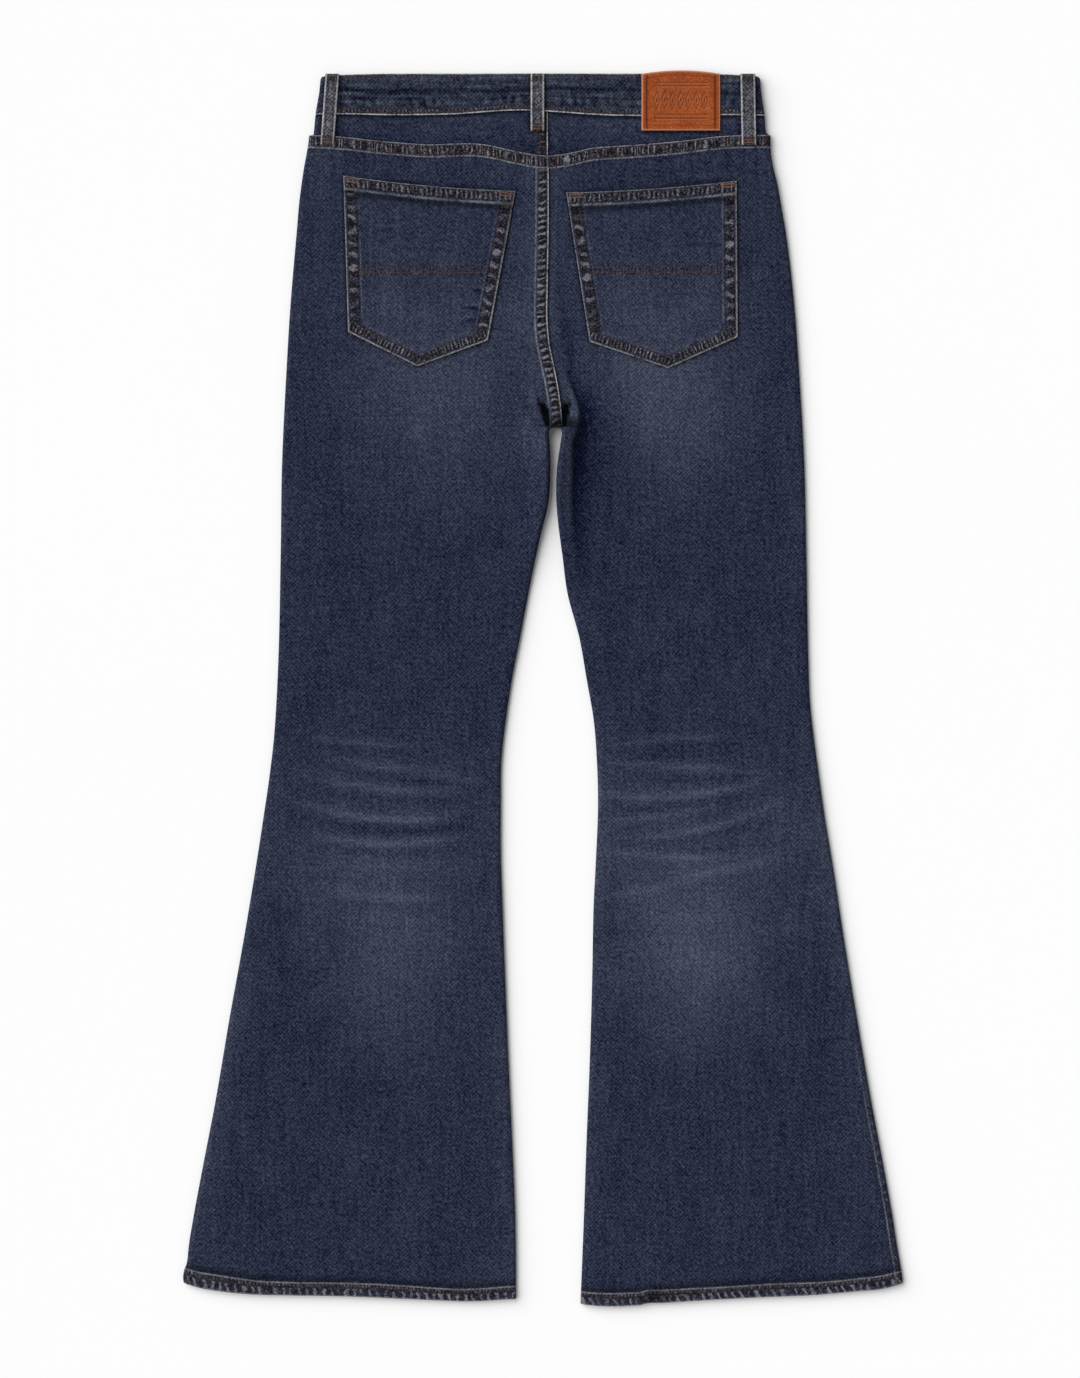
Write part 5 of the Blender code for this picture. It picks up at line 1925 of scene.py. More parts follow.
@dataclass
class BeltLoop(ClothPiece):
    """A belt loop: a folded strip with two worn edges, tacked at both ends."""

    top_across: float
    low_across: float
    low_down: float = 0.0
    face: Face = Face.BACK
    width: float = 13.0
    stand: float = 0.8
    thickness: float = 1.5
    top_down: float = 3.2
    rows: int = 46
    columns: int = 15
    slot: ClassVar[str] = "loop_denim"

    @property
    def outward(self) -> bool:
        """A loop at the back grows up from the band."""
        return self.face is Face.BACK

    def back_places(self, row: Array, beside: Array) -> tuple[Array, Array, Array]:
        """Lay a loop over the back of the band and onto the yoke.

        Args:
            row: Shares down the loop.
            beside: Shares of the width, from the middle.

        Returns:
            Across, down and height of its underside.
        """
        draft = self.draft
        low_edge = float(draft.band_line(self.low_across))
        down = self.top_down + (self.low_down - self.top_down) * row + 0 * beside
        across = self.top_across + (self.low_across - self.top_across) * row + beside * self.width
        share = np.clip((down - self.top_down) / (low_edge - self.top_down), 0, 1)
        upper = draft.over_waist(across, np.minimum(down, low_edge + draft.step_start))
        lower = draft.over_waist(across, np.maximum(down, low_edge + draft.step_start + draft.step_run))
        base = upper + (lower - upper) * draft.step_off(down - low_edge)
        return across, down, base + draft.seam_gap + self.stand * np.sin(math.pi * share)

    def front_places(self, row: Array, beside: Array) -> tuple[Array, Array, Array]:
        """Lay a loop under the front of the band.

        Args:
            row: Shares down the loop.
            beside: Shares of the width, from the middle.

        Returns:
            Across, down and height of its upper face.
        """
        draft = self.draft
        dip = draft.dip(self.top_across)
        top = float(draft.waist_edge(np.array(self.top_across)) + dip) + 0.4
        low = float(draft.band_line(self.top_across) + dip) + 9.0
        down = top + (low - top) * row + 0 * beside
        return self.top_across + beside * self.width + 0 * row, down, 0 * down + self.thickness

    def form(self) -> Form:
        """Shape the loop.

        Returns:
            Its face, its thickness and its marks.
        """
        row = np.linspace(0, 1, self.rows)[:, None]
        beside = np.sin(np.linspace(-math.pi / 2, math.pi / 2, self.columns))[None, :] / 2
        places = self.back_places if self.outward else self.front_places
        across, down, base = places(row, beside)
        edge = (0.5 - np.abs(beside)) * self.width + 0 * row
        thickness = self.thickness - 0.5 * (1 - ease(edge / 0.9))
        if self.outward:
            thickness = thickness + 0.22 * bell(edge - 1.4, 0.8) - 0.12 * bell(edge - 3.2, 0.9)
        marks = SeamMarksAndShade(down)
        marks.line(edge - 1.0, 0.7)
        # painted shade in the stitch channel along each side
        marks.shade_beside(edge - 3.2, 0.8, 0.5)
        ends = np.minimum(down - down.min(), down.max() - down)
        marks.band(ends - 0.8, across, 5.6, 2.6, 0.85, 1.0, 0.5)
        # painted shade below the tacked ends
        marks.shade_beside(ends - 6.8, 1.0, 0.5)
        fade = 0.1 + 0.25 * np.sin(down / 2.1) * np.sin(down / 5.3 + 1.0)
        return Form(across, down, base, thickness, *marks.dressing(fade))


@dataclass
class LeatherPatch(ClothPiece):
    """Leather patch over the waistband and the top of the yoke, its top edge bowed up."""

    left: float = 91.0
    right: float = 164.5
    bottom: float = 56.0
    corner: float = 3.2
    thickness: float = 1.6
    frame_inset: float = 4.6
    rule_levels: tuple[float, ...] = (11.5, 14.5, 41.5, 44.5)
    rule_half: float = 25.0
    lozenges: range = range(-3, 4)
    lozenge_pitch: float = 7.4
    lozenge_half: Point = (3.1, 8.0)
    lozenge_down: float = 28.0
    rows: int = 84
    columns: int = 104
    slot: ClassVar[str] = "leather"
    outward: ClassVar[bool] = True

    def top(self, across: Array) -> Array:
        """Level of the patch's upper edge."""
        share = (across - self.left) / (self.right - self.left)
        return self.corner * (2 * share - 1) ** 2

    def underside(self, across: Array, down: Array) -> Array:
        """Height of the patch's underside, which steps down from the band to the yoke.

        Args:
            across: Places across the garment.
            down: Places down the garment.

        Returns:
            The heights.
        """
        step = self.draft.step_off(down - self.draft.band_line(across))
        return self.draft.back_height(across, down) + self.draft.band_proud * (1 - step) \
            + self.draft.seam_gap

    def form(self) -> Form:
        """Shape the patch.

        Returns:
            Its underside, its thickness, its painted shade, and its rubbed edge with a painted highlight
            beside the pressed motif.
        """
        column = np.linspace(0, 1, self.columns)[None, :]
        row = np.linspace(0, 1, self.rows)[:, None]
        across = self.left + (self.right - self.left) * column + 0 * row
        top = self.top(across)
        down = top + (self.bottom - top) * row
        side_edge = np.minimum(across - self.left, self.right - across)
        edge = np.minimum.reduce([side_edge, down - top, self.bottom - down])
        frame = bell(edge - self.frame_inset, 0.5)
        emboss = self.motif(across, down)
        thickness = self.thickness - 0.45 * (1 - ease(edge / 1.2)) - 0.28 * frame - 0.3 * emboss
        # a shifted copy of the motif gives a painted highlight beside it
        lit = self.motif(across - 0.5, down - 0.6) * (1 - emboss)
        # painted shade in the pressed frame, rules, motif and stitch rows
        shade = np.clip(0.8 * bell(side_edge - 5.0, 1.1) + 0.55 * frame + 0.85 * emboss
                        + 0.35 * bell(edge - 2.2, 0.8), 0, 1)
        worn = np.clip(0.7 * bell(edge - 0.6, 0.7) + 0.3 * lit, 0, 1)
        return Form(across, down, self.underside(across, down), thickness,
                    {"shade": shade, "worn": worn})

    def motif(self, across: Array, down: Array) -> Array:
        """Depth of the pressed decoration: plain rules and a row of small lozenges.

        Args:
            across: Places across the garment.
            down: Places down the garment.

        Returns:
            Depths from 0 to 1.
        """
        x = across - (self.left + self.right) / 2
        pressed = np.zeros_like(across)
        for level in self.rule_levels:
            pressed = np.maximum(pressed, bell(down - level, 0.5) * (np.abs(x) < self.rule_half))
        wide, tall = self.lozenge_half
        for index in self.lozenges:
            far = np.abs(x - index * self.lozenge_pitch) / wide + np.abs(down - self.lozenge_down) / tall
            pressed = np.maximum.reduce([pressed, bell(far - 1.0, 0.15), ease((0.45 - far) / 0.3)])
        return pressed


# Back pockets


@dataclass
class BackPocket(ClothPiece):
    """Patch pocket with a turned top hem, worn edges and two plain rows of thread."""

    top_left: Point
    top_middle: Point
    top_right: Point
    low_right: Point
    tip: Point
    low_left: Point
    thickness: float = 1.0
    rise: float = 0.4
    margin: float = 10.5
    hem: float = 12.5
    plain_rows: tuple[float, ...] = (184.0, 188.5)
    # across, down, turn, reach: short tucks beside the stitching
    tucks: tuple[tuple[float, float, float, float], ...] = ()
    rows: int = 96
    columns: int = 96
    outward: ClassVar[bool] = True

    @property
    def border(self) -> float:
        """Height of its doubled border over the panel."""
        return self.draft.seam_gap + self.thickness + self.rise

    def place(self, share: Array, row: Array) -> tuple[Array, Array]:
        """Give places on the pocket.

        Args:
            share: Shares across the pocket.
            row: Shares down the pocket.

        Returns:
            Across and down.
        """
        result = []
        for axis in (0, 1):
            first = self.top_left[axis] + (self.top_middle[axis] - self.top_left[axis]) * share
            second = self.top_middle[axis]
            second = second + (self.top_right[axis] - self.top_middle[axis]) * share
            top = first + (second - first) * share
            left = self.low_left[axis] + (self.tip[axis] - self.low_left[axis]) * share * 2
            right = self.tip[axis] + (self.low_right[axis] - self.tip[axis]) * (share * 2 - 1)
            bottom = np.where(share <= 0.5, left, right)
            result.append(top + (bottom - top) * row)
        return result[0], result[1]

    def edges(self, across: Array, down: Array) -> dict[str, tuple[Array, Array]]:
        """Measure how far places lie inside each edge and along it.

        Args:
            across: Places across the garment.
            down: Places down the garment.

        Returns:
            Depth and run by the edge's name.
        """
        corners = {"left": (self.low_left, self.top_left), "right": (self.top_right, self.low_right),
                   "low_left": (self.tip, self.low_left), "low_right": (self.low_right, self.tip)}
        found = {}
        for key, (start, end) in corners.items():
            run = np.array(end, dtype=float) - np.array(start, dtype=float)
            run /= np.hypot(*run)
            x, y = across - start[0], down - start[1]
            found[key] = (x * -run[1] + y * run[0], x * run[0] + y * run[1])
        share = np.clip((across - self.top_left[0]) / (self.top_right[0] - self.top_left[0]), 0, 1)
        _, top = self.place(share, np.zeros_like(share))
        found["top"] = (down - top, across)
        return found

    def outside(self, across: Array, down: Array) -> Array:
        """Distance of places outside the pocket's outline, negative inside it."""
        return -np.minimum.reduce([depth for depth, _ in self.edges(across, down).values()])

    def marks(self, across: Array, down: Array, edges: dict[str, tuple[Array, Array]],
              nearest: Array, lowest: Array) -> SeamMarksAndShade:
        """Mark the pocket's border, its top hem and the plain rows, with painted shadow below the hem and
        painted shade in the stitch channels.

        Args:
            across: Places across the garment.
            down: Places down the garment.
            edges: Depth and run by the edge's name.
            nearest: Distance from the nearest edge but the top.
            lowest: Distance from the nearer of the two lower edges.

        Returns:
            The marks.
        """
        marks = SeamMarksAndShade(across)
        top_depth, top_run = edges["top"]
        under_hem = top_depth - self.hem
        for key in ("left", "right"):
            marks.band(edges[key][0] - 1.8, edges[key][1], self.margin - 0.4, 11.4, 0.9, 0.1, 0.82)
        for key in ("low_left", "low_right"):
            marks.band(edges[key][0] - 1.6, edges[key][1], self.margin - 1.4, 3.6, 0.95, 0.2, 0.8)
        marks.band(top_depth - 1.0, top_run, self.hem - 3.4, 4.6, 0.93, 0.2, 0.75)
        away = (nearest > self.margin + 1.5).astype(float)
        for level in self.plain_rows:
            marks.band(down - level + 1.8, across, 3.6, 3.2, 0.85 * away, 1.0, 0.4)
        low_edge = lowest - 0.5 < nearest
        right = np.minimum(edges["right"][0], edges["low_right"][0]) < nearest + 0.5
        gain = np.where(low_edge, 1.05, 0.7) + np.where(right, 0.4, 0.0)
        marks.line((nearest - 0.5) * np.where(low_edge | right, 0.82, 1.0), gain)
        marks.line(top_depth - 0.5, 0.55)
        marks.line(under_hem + 1.2, 0.42)
        marks.line(under_hem + 0.1, 0.30)
        marks.line(nearest - self.margin - 3.0, np.where(lowest > nearest + 3.0, 0.14, 0.0))
        # painted shadow below the top hem and at its corners, and painted shade in the stitch channels
        marks.shade_beside(under_hem - 2.8, 3.2, 0.62)
        marks.shade_beside(under_hem - 4.0, 7.0, 0.5 * bell(nearest - 5.0, 6.0) * ease(under_hem / 2.0))
        marks.shade_beside(nearest - self.margin - 1.0, 0.8, 0.15)
        marks.shade_beside(nearest - 1.9, 0.7, 0.45)
        return marks

    def form(self) -> Form:
        """Shape the pocket.

        Returns:
            Its underside, its thickness and its marks.
        """
        even = np.linspace(0, 1, self.columns)
        share = (even - 0.08 * np.sin(4 * math.pi * even) / (4 * math.pi))[None, :]
        row = np.linspace(0, 1, self.rows)[:, None] + 0 * share
        across, down = self.place(share + 0 * row, row)
        edges = self.edges(across, down)
        top_depth = edges["top"][0]
        nearest = np.minimum.reduce([edges[key][0] for key in edges if key != "top"])
        lowest = np.minimum(edges["low_left"][0], edges["low_right"][0])
        marks = self.marks(across, down, edges, nearest, lowest)
        inside = ease((nearest - self.margin + 0.3) / 0.8) * ease((top_depth - self.hem) / 0.8)
        edge = np.minimum(nearest, top_depth)
        sunk = 0.16 * bell(nearest - 1.9, 0.6) + 0.14 * bell(nearest - self.margin + 1.0, 0.7)
        lumps = 0.12 * np.sin(marks.run * 2 * math.pi + np.sin(marks.run * 2.3)) * marks.pucker
        thickness = self.thickness + self.rise * (1 - inside) - sunk - 0.3 * (1 - ease(edge))
        thickness = thickness + lumps * ease(edge / 2.0)
        low = ease((down - 150.0) / 110.0)
        fade = 0.12 + 0.6 * low * bell(nearest - 36.0, 24.0) + 0.15 * bell(nearest - 60.0, 40.0)
        blotch = 0.6 + 0.4 * np.sin(across / 2.9) * np.sin(across / 7.1 + 1.0)
        fade = fade + blotch * bell(lowest - self.margin - 1.2, 3.4)
        for x, y, turn, length in self.tucks:
            cos, sin = math.cos(math.radians(turn)), math.sin(math.radians(turn))
            taper = ease(1 - np.abs((across - x) * cos + (down - y) * sin) / length)
            beside = (down - y) * cos - (across - x) * sin
            tuck = bell(beside, 1.5) * taper
            thickness = thickness - 0.22 * tuck
            fade = fade - 1.7 * tuck + 0.8 * bell(beside + 3.0, 1.6) * taper
        base = self.draft.back_height(across, down) + self.draft.seam_gap
        return Form(across, down, base, thickness, *marks.dressing(fade))


# Thread


@dataclass
class Thread:
    """Rows of stitches that share one thread, joined in one mesh."""

    draft: Draft
    name: str
    pitch: float = 3.3
    length: float = 2.5
    width: float = 0.62
    height: float = 0.34
    sink: float = 0.05
    look_ahead: float = 0.4
    tack_pitch: float = 0.75
    tack_lean: float = 0.12
    placed: list[tuple[float, float, float, float, float]] = field(default_factory=list)

    def row(self, across: Number, down: Number, top: Surface, pitch: Optional[float] = None,
            length: Optional[float] = None) -> None:
        """Sew one row.

        Args:
            across: Across of the points that the row runs through.
            down: Down of these points.
            top: Height of the surface it is sewn on.
            pitch: Distance between two stitches, or None for the thread's own.
            length: A stitch's length, or None for the thread's own.
        """
        path = np.broadcast_arrays(np.asarray(across, dtype=float), np.asarray(down, dtype=float))
        along = np.concatenate([[0.0], np.cumsum(np.hypot(np.diff(path[0]), np.diff(path[1])))])
        count = max(int(along[-1] / (pitch or self.pitch)), 1)
        at = (np.arange(count) + 0.5) * along[-1] / count
        x, y = (np.interp(at, along, part) for part in path)
        ahead_x, ahead_y = (np.interp(at + self.look_ahead, along, part) for part in path)
        turn = np.arctan2(y - ahead_y, ahead_x - x)
        self.placed += [(*map(float, stitch), length or self.length)
                        for stitch in zip(x, y, top(x, y) - self.sink, turn)]

    def tack(self, middle: Point, size: Point, turn: float, top: Surface) -> None:
        """Sew a bar tack: close stitches across a short bar.

        Args:
            middle: The tack's middle.
            size: Its length and its width.
            turn: The bar's direction in degrees.
            top: Height of the surface it is sewn on.
        """
        count = max(int(size[0] / self.tack_pitch), 3)
        angle = math.radians(turn)
        for index in range(count):
            offset = (index + 0.5) / count * size[0] - size[0] / 2
            x = middle[0] + offset * math.cos(angle)
            y = middle[1] + offset * math.sin(angle)
            lean = math.pi / 2 - angle + self.tack_lean * (-1) ** index
            self.placed.append((x, y, float(top(np.array(x), np.array(y))) + 0.05, lean, size[1]))

    def build(self, finish: bpy.types.Material, slot: str) -> bpy.types.Object:
        """Make the joined stitches.

        Args:
            finish: The thread.
            slot: The slot that it belongs to, handed on to dress.

        Returns:
            The piece.
        """
        bpy.ops.object.select_all(action="DESELECT")
        bpy.ops.mesh.primitive_uv_sphere_add(segments=8, ring_count=5, radius=0.5,
                                             rotation=(0.0, -math.pi / 2, 0.0))
        one = bpy.context.active_object
        settle(one)
        one.scale = (1.0, self.width, self.height)
        settle(one)
        log.info("%s: %d stitches", self.name, len(self.placed))
        return dress(stamped(self.name, self.draft, one, np.array(self.placed)), finish, slot)


def lifted(surface: Surface, rise: float) -> Surface:
    """Give a surface moved up."""
    return lambda across, down: surface(across, down) + rise


@dataclass
class Sewing:
    """All rows of thread on the garment."""

    draft: Draft
    pockets: Sequence[BackPocket]
    loops: Sequence[BeltLoop]
    patch: LeatherPatch
    press: float = 0.1

    def panel_top(self, side: Side, rise: float) -> Surface:
        """Give the height of a back panel with a seam's rise on it.

        Args:
            side: Half of the garment.
            rise: The seam's rise.

        Returns:
            The surface.
        """
        top, draft = self.draft.half_height + rise - self.press, self.draft
        return lambda across, down: (draft.middle_height(across, down)
                                     + draft.flatness(side, across, down) * top)

    def seams(self) -> Thread:
        """Sew the yoke, the seat seam and the hems.

        Returns:
            The thread.
        """
        draft = self.draft
        thread = Thread(draft, "seam_thread", 3.4)
        for side in Side:
            x = np.linspace(float(draft.outer(side, 68.0)) - side.value * 2.5,
                            3.7 + side.value * 2.0, 90)
            for offset in (2.0, draft.yoke_band - 2.0):
                thread.row(x, draft.yoke_line(x) + offset, self.panel_top(side, draft.seam_rise))
            x = np.linspace(float(draft.outer(side, 1122.0)) - side.value * 3.0,
                            float(draft.inner(side, Face.BACK, 1140.0)) + side.value * 3.0, 90)
            thread.row(x, draft.hem_line(x) - 9.6, self.panel_top(side, draft.hem_rise))
        down = np.linspace(40.0, 326.0, 120)
        for inward in (2.0, draft.seat_band - 2.0):
            thread.row(draft.seam(Face.BACK, down) - inward, down,
                       self.panel_top(Side.LEFT, draft.seam_rise))
        return thread

    def pocket_rows(self) -> Thread:
        """Sew the pockets' edges, their top hems and the two plain rows across them.

        Returns:
            The thread.
        """
        draft = self.draft
        thread = Thread(draft, "pocket_thread", 3.2, 2.3, 0.8)
        for pocket in self.pockets:
            border = lifted(draft.back_height, pocket.border - self.press)
            for inward in (1.9, pocket.margin - 1.0):
                for path in self.inset_path(pocket, inward):
                    thread.row(*np.transpose(path), border)
            x, y = pocket.place(np.linspace(0.02, 0.98, 60), np.zeros(60))
            for inward in (2.0, pocket.hem - 1.4):
                thread.row(x, y + inward, border)
            for level in pocket.plain_rows:
                x = np.linspace(-190, 185, 376)
                edges = pocket.edges(x, np.full_like(x, level))
                x = x[np.minimum(edges["left"][0], edges["right"][0]) > pocket.margin + 1.0]
                thread.row(x[[0, -1]], level,
                           lifted(draft.back_height, draft.seam_gap + pocket.thickness), 3.0, 2.4)
        return thread

    def inset_path(self, pocket: BackPocket, inward: float) -> list[list[Array]]:
        """Paths inside a pocket's sides and lower edges.

        Args:
            pocket: The pocket.
            inward: Distance inside the edges.

        Returns:
            Four straight paths that meet at the inset corners.
        """
        corners = np.array((pocket.top_left, pocket.low_left, pocket.tip, pocket.low_right,
                            pocket.top_right))
        lengths = np.hypot(*np.diff(corners, axis=0).T)
        runs = np.diff(corners, axis=0) / lengths[:, None]
        starts = corners[:-1] + inward * np.stack([runs[:, 1], -runs[:, 0]], axis=-1)
        paths = []
        for index, (start, run) in enumerate(zip(starts, runs)):
            ends = []
            for other, free in ((index - 1, 2.5), (index + 1, lengths[index] - 2.5)):
                step = free
                if 0 <= other < len(runs):
                    matrix = np.array([run, -runs[other]]).T
                    step = np.linalg.solve(matrix, starts[other] - start)[0]
                ends.append(start + run * step)
            paths.append(ends)
        return paths

    def waist_rows(self) -> Thread:
        """Sew the waistband's two rows on the back and on the front, and the fly.

        Returns:
            The thread.
        """
        draft = self.draft
        thread = Thread(draft, "waist_thread", 3.2, 2.4)
        for start, end in ((-203.0, 88.0), (167.5, 197.0)):
            x = np.linspace(start, end, 100)
            thread.row(x, draft.waist_edge(x) + 1.9, draft.over_waist)
            thread.row(x, draft.band_line(x) - 2.6, draft.over_waist)
        under = lifted(draft.front_height, 0.05)
        x = np.linspace(-203.0, 198.0, 200)
        thread.row(x, draft.waist_edge(x) + draft.dip(x) + 1.9, under)
        thread.row(x, draft.band_line(x) + draft.dip(x) - 2.6, under)
        down = np.concatenate([np.linspace(72.0, 150.0, 40), np.linspace(151.0, 171.5, 30)])
        for inward in (0.0, 6.0):
            thread.row(draft.fly_edge(down) + inward, down, under)
        return thread

    def tacks(self) -> Thread:
        """Sew the bar tacks at the loops' ends and the pockets' corners.

        Returns:
            The thread.
        """
        draft = self.draft
        thread = Thread(draft, "tack_thread", width=0.8, height=0.5)
        for loop in self.loops:
            if loop.outward:
                top = lifted(draft.over_waist, draft.seam_gap + loop.thickness)
                for place, level, size in ((loop.low_across, loop.low_down - 2.2, (9.6, 1.5)),
                                           (loop.low_across, loop.low_down - 4.8, (9.6, 1.4)),
                                           (loop.top_across, 4.9, (9.2, 1.2)),
                                           (loop.top_across, 7.9, (9.2, 1.2))):
                    thread.tack((place, level), size, 0.0, top)
        for pocket in self.pockets:
            lean = math.atan2(pocket.top_right[1] - pocket.top_left[1],
                              pocket.top_right[0] - pocket.top_left[0])
            for corner, shift in ((pocket.top_left, 9.0), (pocket.top_right, -9.0)):
                for inward, length in ((2.6, 13.0), (5.2, 12.0)):
                    middle = (corner[0] + shift - inward * math.sin(lean),
                              corner[1] + inward + shift * math.tan(lean))
                    thread.tack(middle, (length, 1.5), math.degrees(lean),
                                lifted(draft.back_height, pocket.border))
        return thread

    def patch_rows(self) -> Thread:
        """Sew the leather patch all round.

        Returns:
            The thread.
        """
        patch = self.patch
        thread = Thread(self.draft, "patch_thread", 2.9, 2.0, 0.5)
        top = lifted(patch.underside, patch.thickness - 0.05)
        x = np.linspace(patch.left + 2.2, patch.right - 2.2, 40)
        thread.row(x, patch.top(x) + 2.2, top)
        thread.row(x, patch.bottom - 2.2, top)
        down = np.linspace(6.0, patch.bottom - 3.0, 30)
        thread.row(patch.left + 2.2, down, top)
        thread.row(patch.right - 2.2, down, top)
        return thread


# Fastenings


def node_box(node: str) -> tuple[Array, Array]:
    """Give the middle and the size of a node's box."""
    low, high = (np.array(corner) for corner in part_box(node))
    return (low + high) / 2, high - low


@dataclass
class Button:
    """Domed waist button with a rolled rim, lying under the lap."""

    node: str = "button"
    # width, depth: insets of its face, from the rim to the middle
    steps: tuple[Point, ...] = ((1.1, 0.0), (0.5, -0.5), (3.5, 0.25), (2.0, 0.1))

    def build(self, finish: bpy.types.Material) -> bpy.types.Object:
        """Make the button.

        Args:
            finish: The plated metal.

        Returns:
            The piece.
        """
        middle, size = node_box(self.node)
        bpy.ops.object.select_all(action="DESELECT")
        bpy.ops.mesh.primitive_cylinder_add(vertices=64, radius=size[0] / 2, depth=size[2],
                                            location=tuple(middle))
        piece = bpy.context.active_object
        piece.name = "waist_button"
        settle(piece)
        select_faces(piece, 2, -1)
        inset(self.steps)
        round_edges(piece, 0.35 * MM, 3)
        return dress(piece, finish, "copper", self.node)


@dataclass
class ZipTape(ClothPiece):
    """Woven tape behind the fly."""

    top: float = 84.0
    bottom: float = 190.0
    half_width: float = 14.0
    thickness: float = 0.7
    slot: ClassVar[str] = "zip_tape"
    outward: ClassVar[bool] = True

    @property
    def name(self) -> str:
        """The piece's name."""
        return "zip_tape"

    def underside(self, across: Array, down: Array) -> Array:
        """Height of the tape's underside."""
        return self.draft.front_height(across, down) + self.draft.wall + self.draft.seam_gap

    def form(self) -> Form:
        """Shape the tape.

        Returns:
            Its underside and its thickness.
        """
        down = np.linspace(self.top, self.bottom, 50)[:, None]
        across = self.draft.seam(Face.FRONT, down) + np.linspace(-self.half_width, self.half_width, 24)
        down = down + 0 * across
        return Form(across, down, self.underside(across, down), self.thickness, {})


@dataclass
class ZipChain:
    """Teeth and slider of the zip."""

    tape: ZipTape
    tooth_pitch: float = 2.2
    tooth_size: tuple[float, float, float] = (5.2, 1.0, 1.0)
    tooth_lift: float = 0.1
    tooth_shift: float = 0.35
    end: float = 2.0

    def build_teeth(self, finish: bpy.types.Material) -> bpy.types.Object:
        """Make the chain of teeth.

        Args:
            finish: The brass.

        Returns:
            The piece.
        """
        draft, tape = self.tape.draft, self.tape
        index = np.arange(int((tape.bottom - tape.top - 2 * self.end) / self.tooth_pitch))
        down = tape.top + self.end + index * self.tooth_pitch
        across = draft.seam(Face.FRONT, down) + self.tooth_shift * (-1.0) ** index
        height = tape.underside(across, down) + tape.thickness + self.tooth_lift
        bpy.ops.object.select_all(action="DESELECT")
        bpy.ops.mesh.primitive_cube_add(size=1.0)
        tooth = bpy.context.active_object
        tooth.scale = self.tooth_size
        settle(tooth)
        round_edges(tooth, 0.25, 2)
        table = np.stack([across, down, height + self.tooth_size[2] / 2, 0 * down, 0 * down + 1], -1)
        return dress(stamped("zip_teeth", draft, tooth, table), finish, "brass")

    def build_slider(self, finish: bpy.types.Material) -> bpy.types.Object:
        """Make the slider, narrow at its foot, with a crown on it.

        Args:
            finish: The brass.

        Returns:
            The piece.
        """
        middle, size = node_box("zip_slider")
        bpy.ops.object.select_all(action="DESELECT")
        bpy.ops.mesh.primitive_cube_add(size=1.0, location=tuple(middle))
        piece = bpy.context.active_object
        piece.name = "zip_slider_body"
        piece.scale = (size[0], size[1], size[2] * 0.7)
        settle(piece)
        select_faces(piece, 1, -1)
        bpy.ops.transform.resize(value=(0.6, 1.0, 1.0), center_override=tuple(middle))
        select_faces(piece, 2, 1)
        inset(((1.7, 0.0), (0.2, size[2] * 0.15 / MM)))
        round_edges(piece, 0.3 * MM, 3)
        return dress(piece, finish, "brass", "zip_slider")


# Studio


@dataclass
class Studio:
    """Plain pale floor, soft light from the upper left and a camera straight above."""

    frame_pixels: tuple[int, int] = (1080, 1378)
    size_per_pixel: float = 0.934
    object_middle: Point = (544.0, 689.0)
    distance: float = 4.0
    object_height: float = 0.006
    sensor: float = 24.0
    floor_size: float = 9.0
    floor_drop: float = 0.0002
    world_strength: float = 0.30
    sun_energy: float = 3.63
    sun_spread: float = 70.0
    sun_height: float = 42.5
    sun_turn: float = 24.0

    def build(self) -> None:
        """Make the floor, the light and the camera."""
        self.build_floor()
        self.build_light()
        self.build_camera()

    def build_floor(self) -> None:
        bpy.ops.object.select_all(action="DESELECT")
        bpy.ops.mesh.primitive_plane_add(size=self.floor_size, location=(0, 0, -self.floor_drop))
        floor = bpy.context.active_object
        floor.name = "studio_floor"
        settle(floor)
        mix = Mixer("pale_floor", 0.9, 0.1)
        tone = mix.add(0.5, mix.times(mix.noise((2, 2, 2)), 0.2))
        floor.data.materials.append(mix.finish(mix.ramp(tone, ((0.0, (0.90,) * 3), (1.0, (0.925,) * 3)))))

    def build_light(self) -> None:
        """Make the even surrounding light and one wide sun."""
        world = bpy.data.worlds.new("studio_world")
        world.use_nodes = True
        glow = world.node_tree.nodes["Background"].inputs
        glow["Color"].default_value = (1, 1, 1, 1)
        glow["Strength"].default_value = self.world_strength
        bpy.context.scene.world = world
        sun_data = bpy.data.lights.new("soft_sun", "SUN")
        sun_data.energy = self.sun_energy
        sun_data.angle = math.radians(self.sun_spread)
        sun = linked("soft_sun", sun_data)
        sun.rotation_euler = (0.0, math.radians(self.sun_height - 90), -math.radians(self.sun_turn))

    def build_camera(self) -> None:
        """Make the camera, framed on the whole garment."""
        lens = bpy.data.cameras.new("studio_camera")
        lens.sensor_fit = "VERTICAL"
        lens.sensor_height = self.sensor
        scale = self.size_per_pixel * MM
        wide, tall = self.frame_pixels
        lens.lens = self.sensor * self.distance / (tall * scale)
        lens.clip_end = 50.0
        camera = linked("studio_camera", lens)
        camera.location = ((wide / 2 - self.object_middle[0]) * scale,
                           (self.object_middle[1] - tall / 2) * scale,
                           self.distance + self.object_height)
        bpy.context.scene.camera = camera
        bpy.context.scene.view_settings.view_transform = "Standard"


# Whole garment


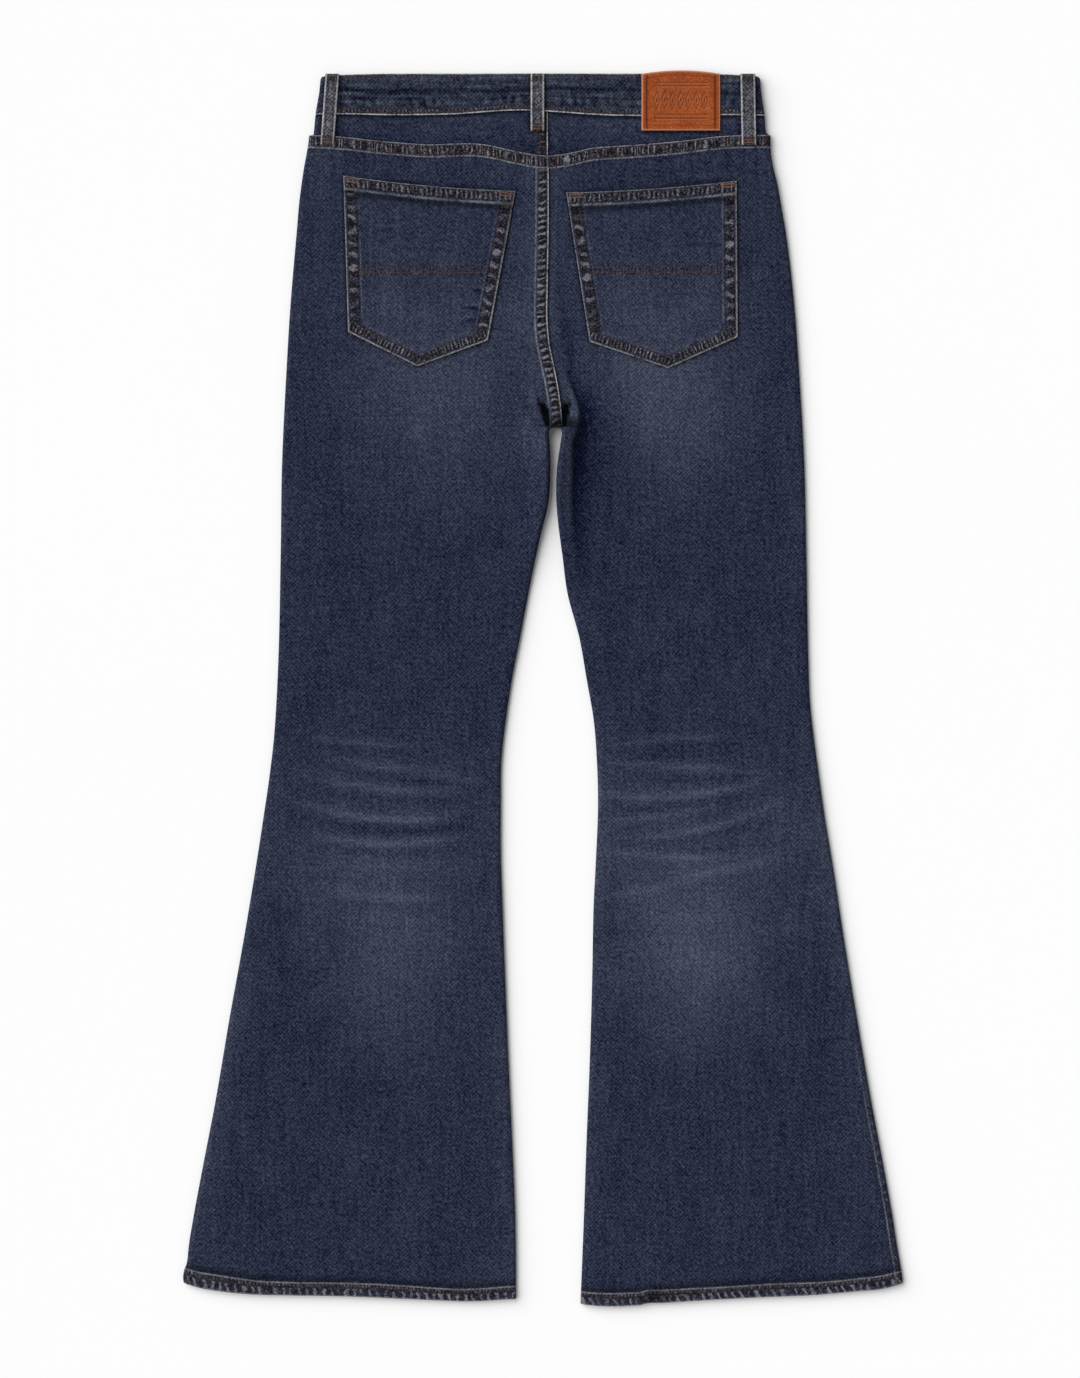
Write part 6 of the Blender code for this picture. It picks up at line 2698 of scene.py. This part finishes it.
@dataclass
class Jeans:
    """The whole garment."""

    draft: Draft = field(default_factory=Draft)
    wear_and_shade: WearAndShadeMap = field(default_factory=WearAndShadeMap)

    def pockets(self) -> list[BackPocket]:
        """Give the two back pockets.

        Returns:
            The left one and the right one, with their corners.
        """
        return [
            BackPocket(self.draft, "back_pocket_left", ["back_panel_left"], (-187.2, 98.0),
                       (-113.0, 109.6), (-26.6, 112.4), (-52.3, 251.6), (-118.2, 275.8),
                       (-182.9, 243.7), tucks=((-66.0, 221.5, 8, 10.0), (-68.0, 233.0, -4, 11.0),
                                               (-62.0, 205.0, 6, 8.0))),
            BackPocket(self.draft, "back_pocket_right", ["back_panel_right"], (20.8, 113.8),
                       (102.0, 112.4), (179.8, 102.8), (180.9, 248.5), (116.0, 277.5),
                       (42.7, 252.9)),
        ]

    def loops(self) -> list[BeltLoop]:
        """Give the five belt loops.

        Returns:
            Three on the back and two on the front.
        """
        # place, top across, low across, low down, face, width
        table = (
            ("centre_back", -6.1, -6.1, 56.6, Face.BACK, 13.0),
            ("back_left", -197.4, -202.4, 68.9, Face.BACK, 13.0),
            ("back_right", 190.1, 191.3, 69.4, Face.BACK, 13.9),
            ("front_left", -95.0, -95.0, 0.0, Face.FRONT, 13.0),
            ("front_right", 95.0, 95.0, 0.0, Face.FRONT, 13.0),
        )
        return [BeltLoop(self.draft, f"belt_loop_{place}", ["waistband"], *sizes)
                for place, *sizes in table]

    def build(self) -> None:
        """Make every piece in order."""
        draft = self.draft
        body = DenimFinish().material()
        yoke_cloth = DenimFinish("denim_yoke", slub=0.2, cross_slub=1.0, regular=0.75,
                                 ragged=2.6).material()
        pocket_cloth = DenimFinish("denim_pocket", fade_shift=0.05, regular=1.1, ragged=1.1).material()
        band_cloth = DenimFinish("denim_waistband", (42.0, 46.0, 60.0), (21.0, 22.0, 22.0),
                                 slub=2.0, slub_scale=(300, 95, 60), cross_slub=2.2).material()
        loop_cloth = DenimFinish("denim_loop", (76.0, 75.0, 83.0), (26.0, 26.0, 25.0),
                                 worn=srgb(196, 194, 197), grain_gain=1.4,
                                 line_grain=0.12).material()
        brown = ThreadFinish("brown_thread", srgb(48, 34, 31), srgb(84, 60, 50)).material()
        tan = ThreadFinish("tan_thread", srgb(66, 44, 36), srgb(134, 98, 78)).material()
        russet = ThreadFinish("russet_thread", srgb(112, 52, 28), srgb(186, 116, 78)).material()
        brass = MetalFinish("aged_brass", srgb(176, 138, 82), srgb(92, 70, 42)).material()
        copper = MetalFinish("aged_copper", srgb(176, 120, 86), srgb(88, 56, 40)).material()
        pockets = self.pockets()
        for side in Side:
            back, front = f"back_panel_{side.word}", f"front_panel_{side.word}"
            BackPanel(draft, back, [front], side, self.wear_and_shade, pockets).build(body)
            FrontPanel(draft, front, ["studio_floor"], side, self.wear_and_shade).build(body)
            PocketFacing(draft, f"front_pocket_facing_{side.word}", [front], side).build(body)
            Yoke(draft, f"yoke_{side.word}", ["waistband"], side).build(yoke_cloth)
            log.info("leg built: %s", side.word)
        Waistband(draft, "waistband", ["yoke_left", "yoke_right"]).build(band_cloth)
        loops = self.loops()
        for loop in loops:
            loop.build(loop_cloth)
        patch = LeatherPatch(draft, "leather_patch", ["waistband", "yoke_right"])
        patch.build(LeatherFinish().material())
        for pocket in pockets:
            pocket.build(pocket_cloth)
        log.info("waist and pockets built")
        sewing = Sewing(draft, pockets, loops, patch)
        sewing.seams().build(brown, "denim")
        sewing.pocket_rows().build(brown, "denim")
        sewing.waist_rows().build(brown, "waistband_denim")
        sewing.tacks().build(tan, "loop_denim")
        sewing.patch_rows().build(russet, "leather")
        tape = ZipTape(draft, "zip", ["front_panel_left", "front_panel_right"])
        tape.build(TapeFinish().material())
        chain = ZipChain(tape)
        chain.build_teeth(brass)
        chain.build_slider(brass)
        Button().build(copper)
        log.info("fastenings built")


def main() -> None:
    """Load the frame, and build the garment and the studio."""
    logging.basicConfig(level=logging.INFO, format="%(name)s: %(message)s")
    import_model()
    Studio().build()
    Jeans().build()


if __name__ == "__main__":
    main()
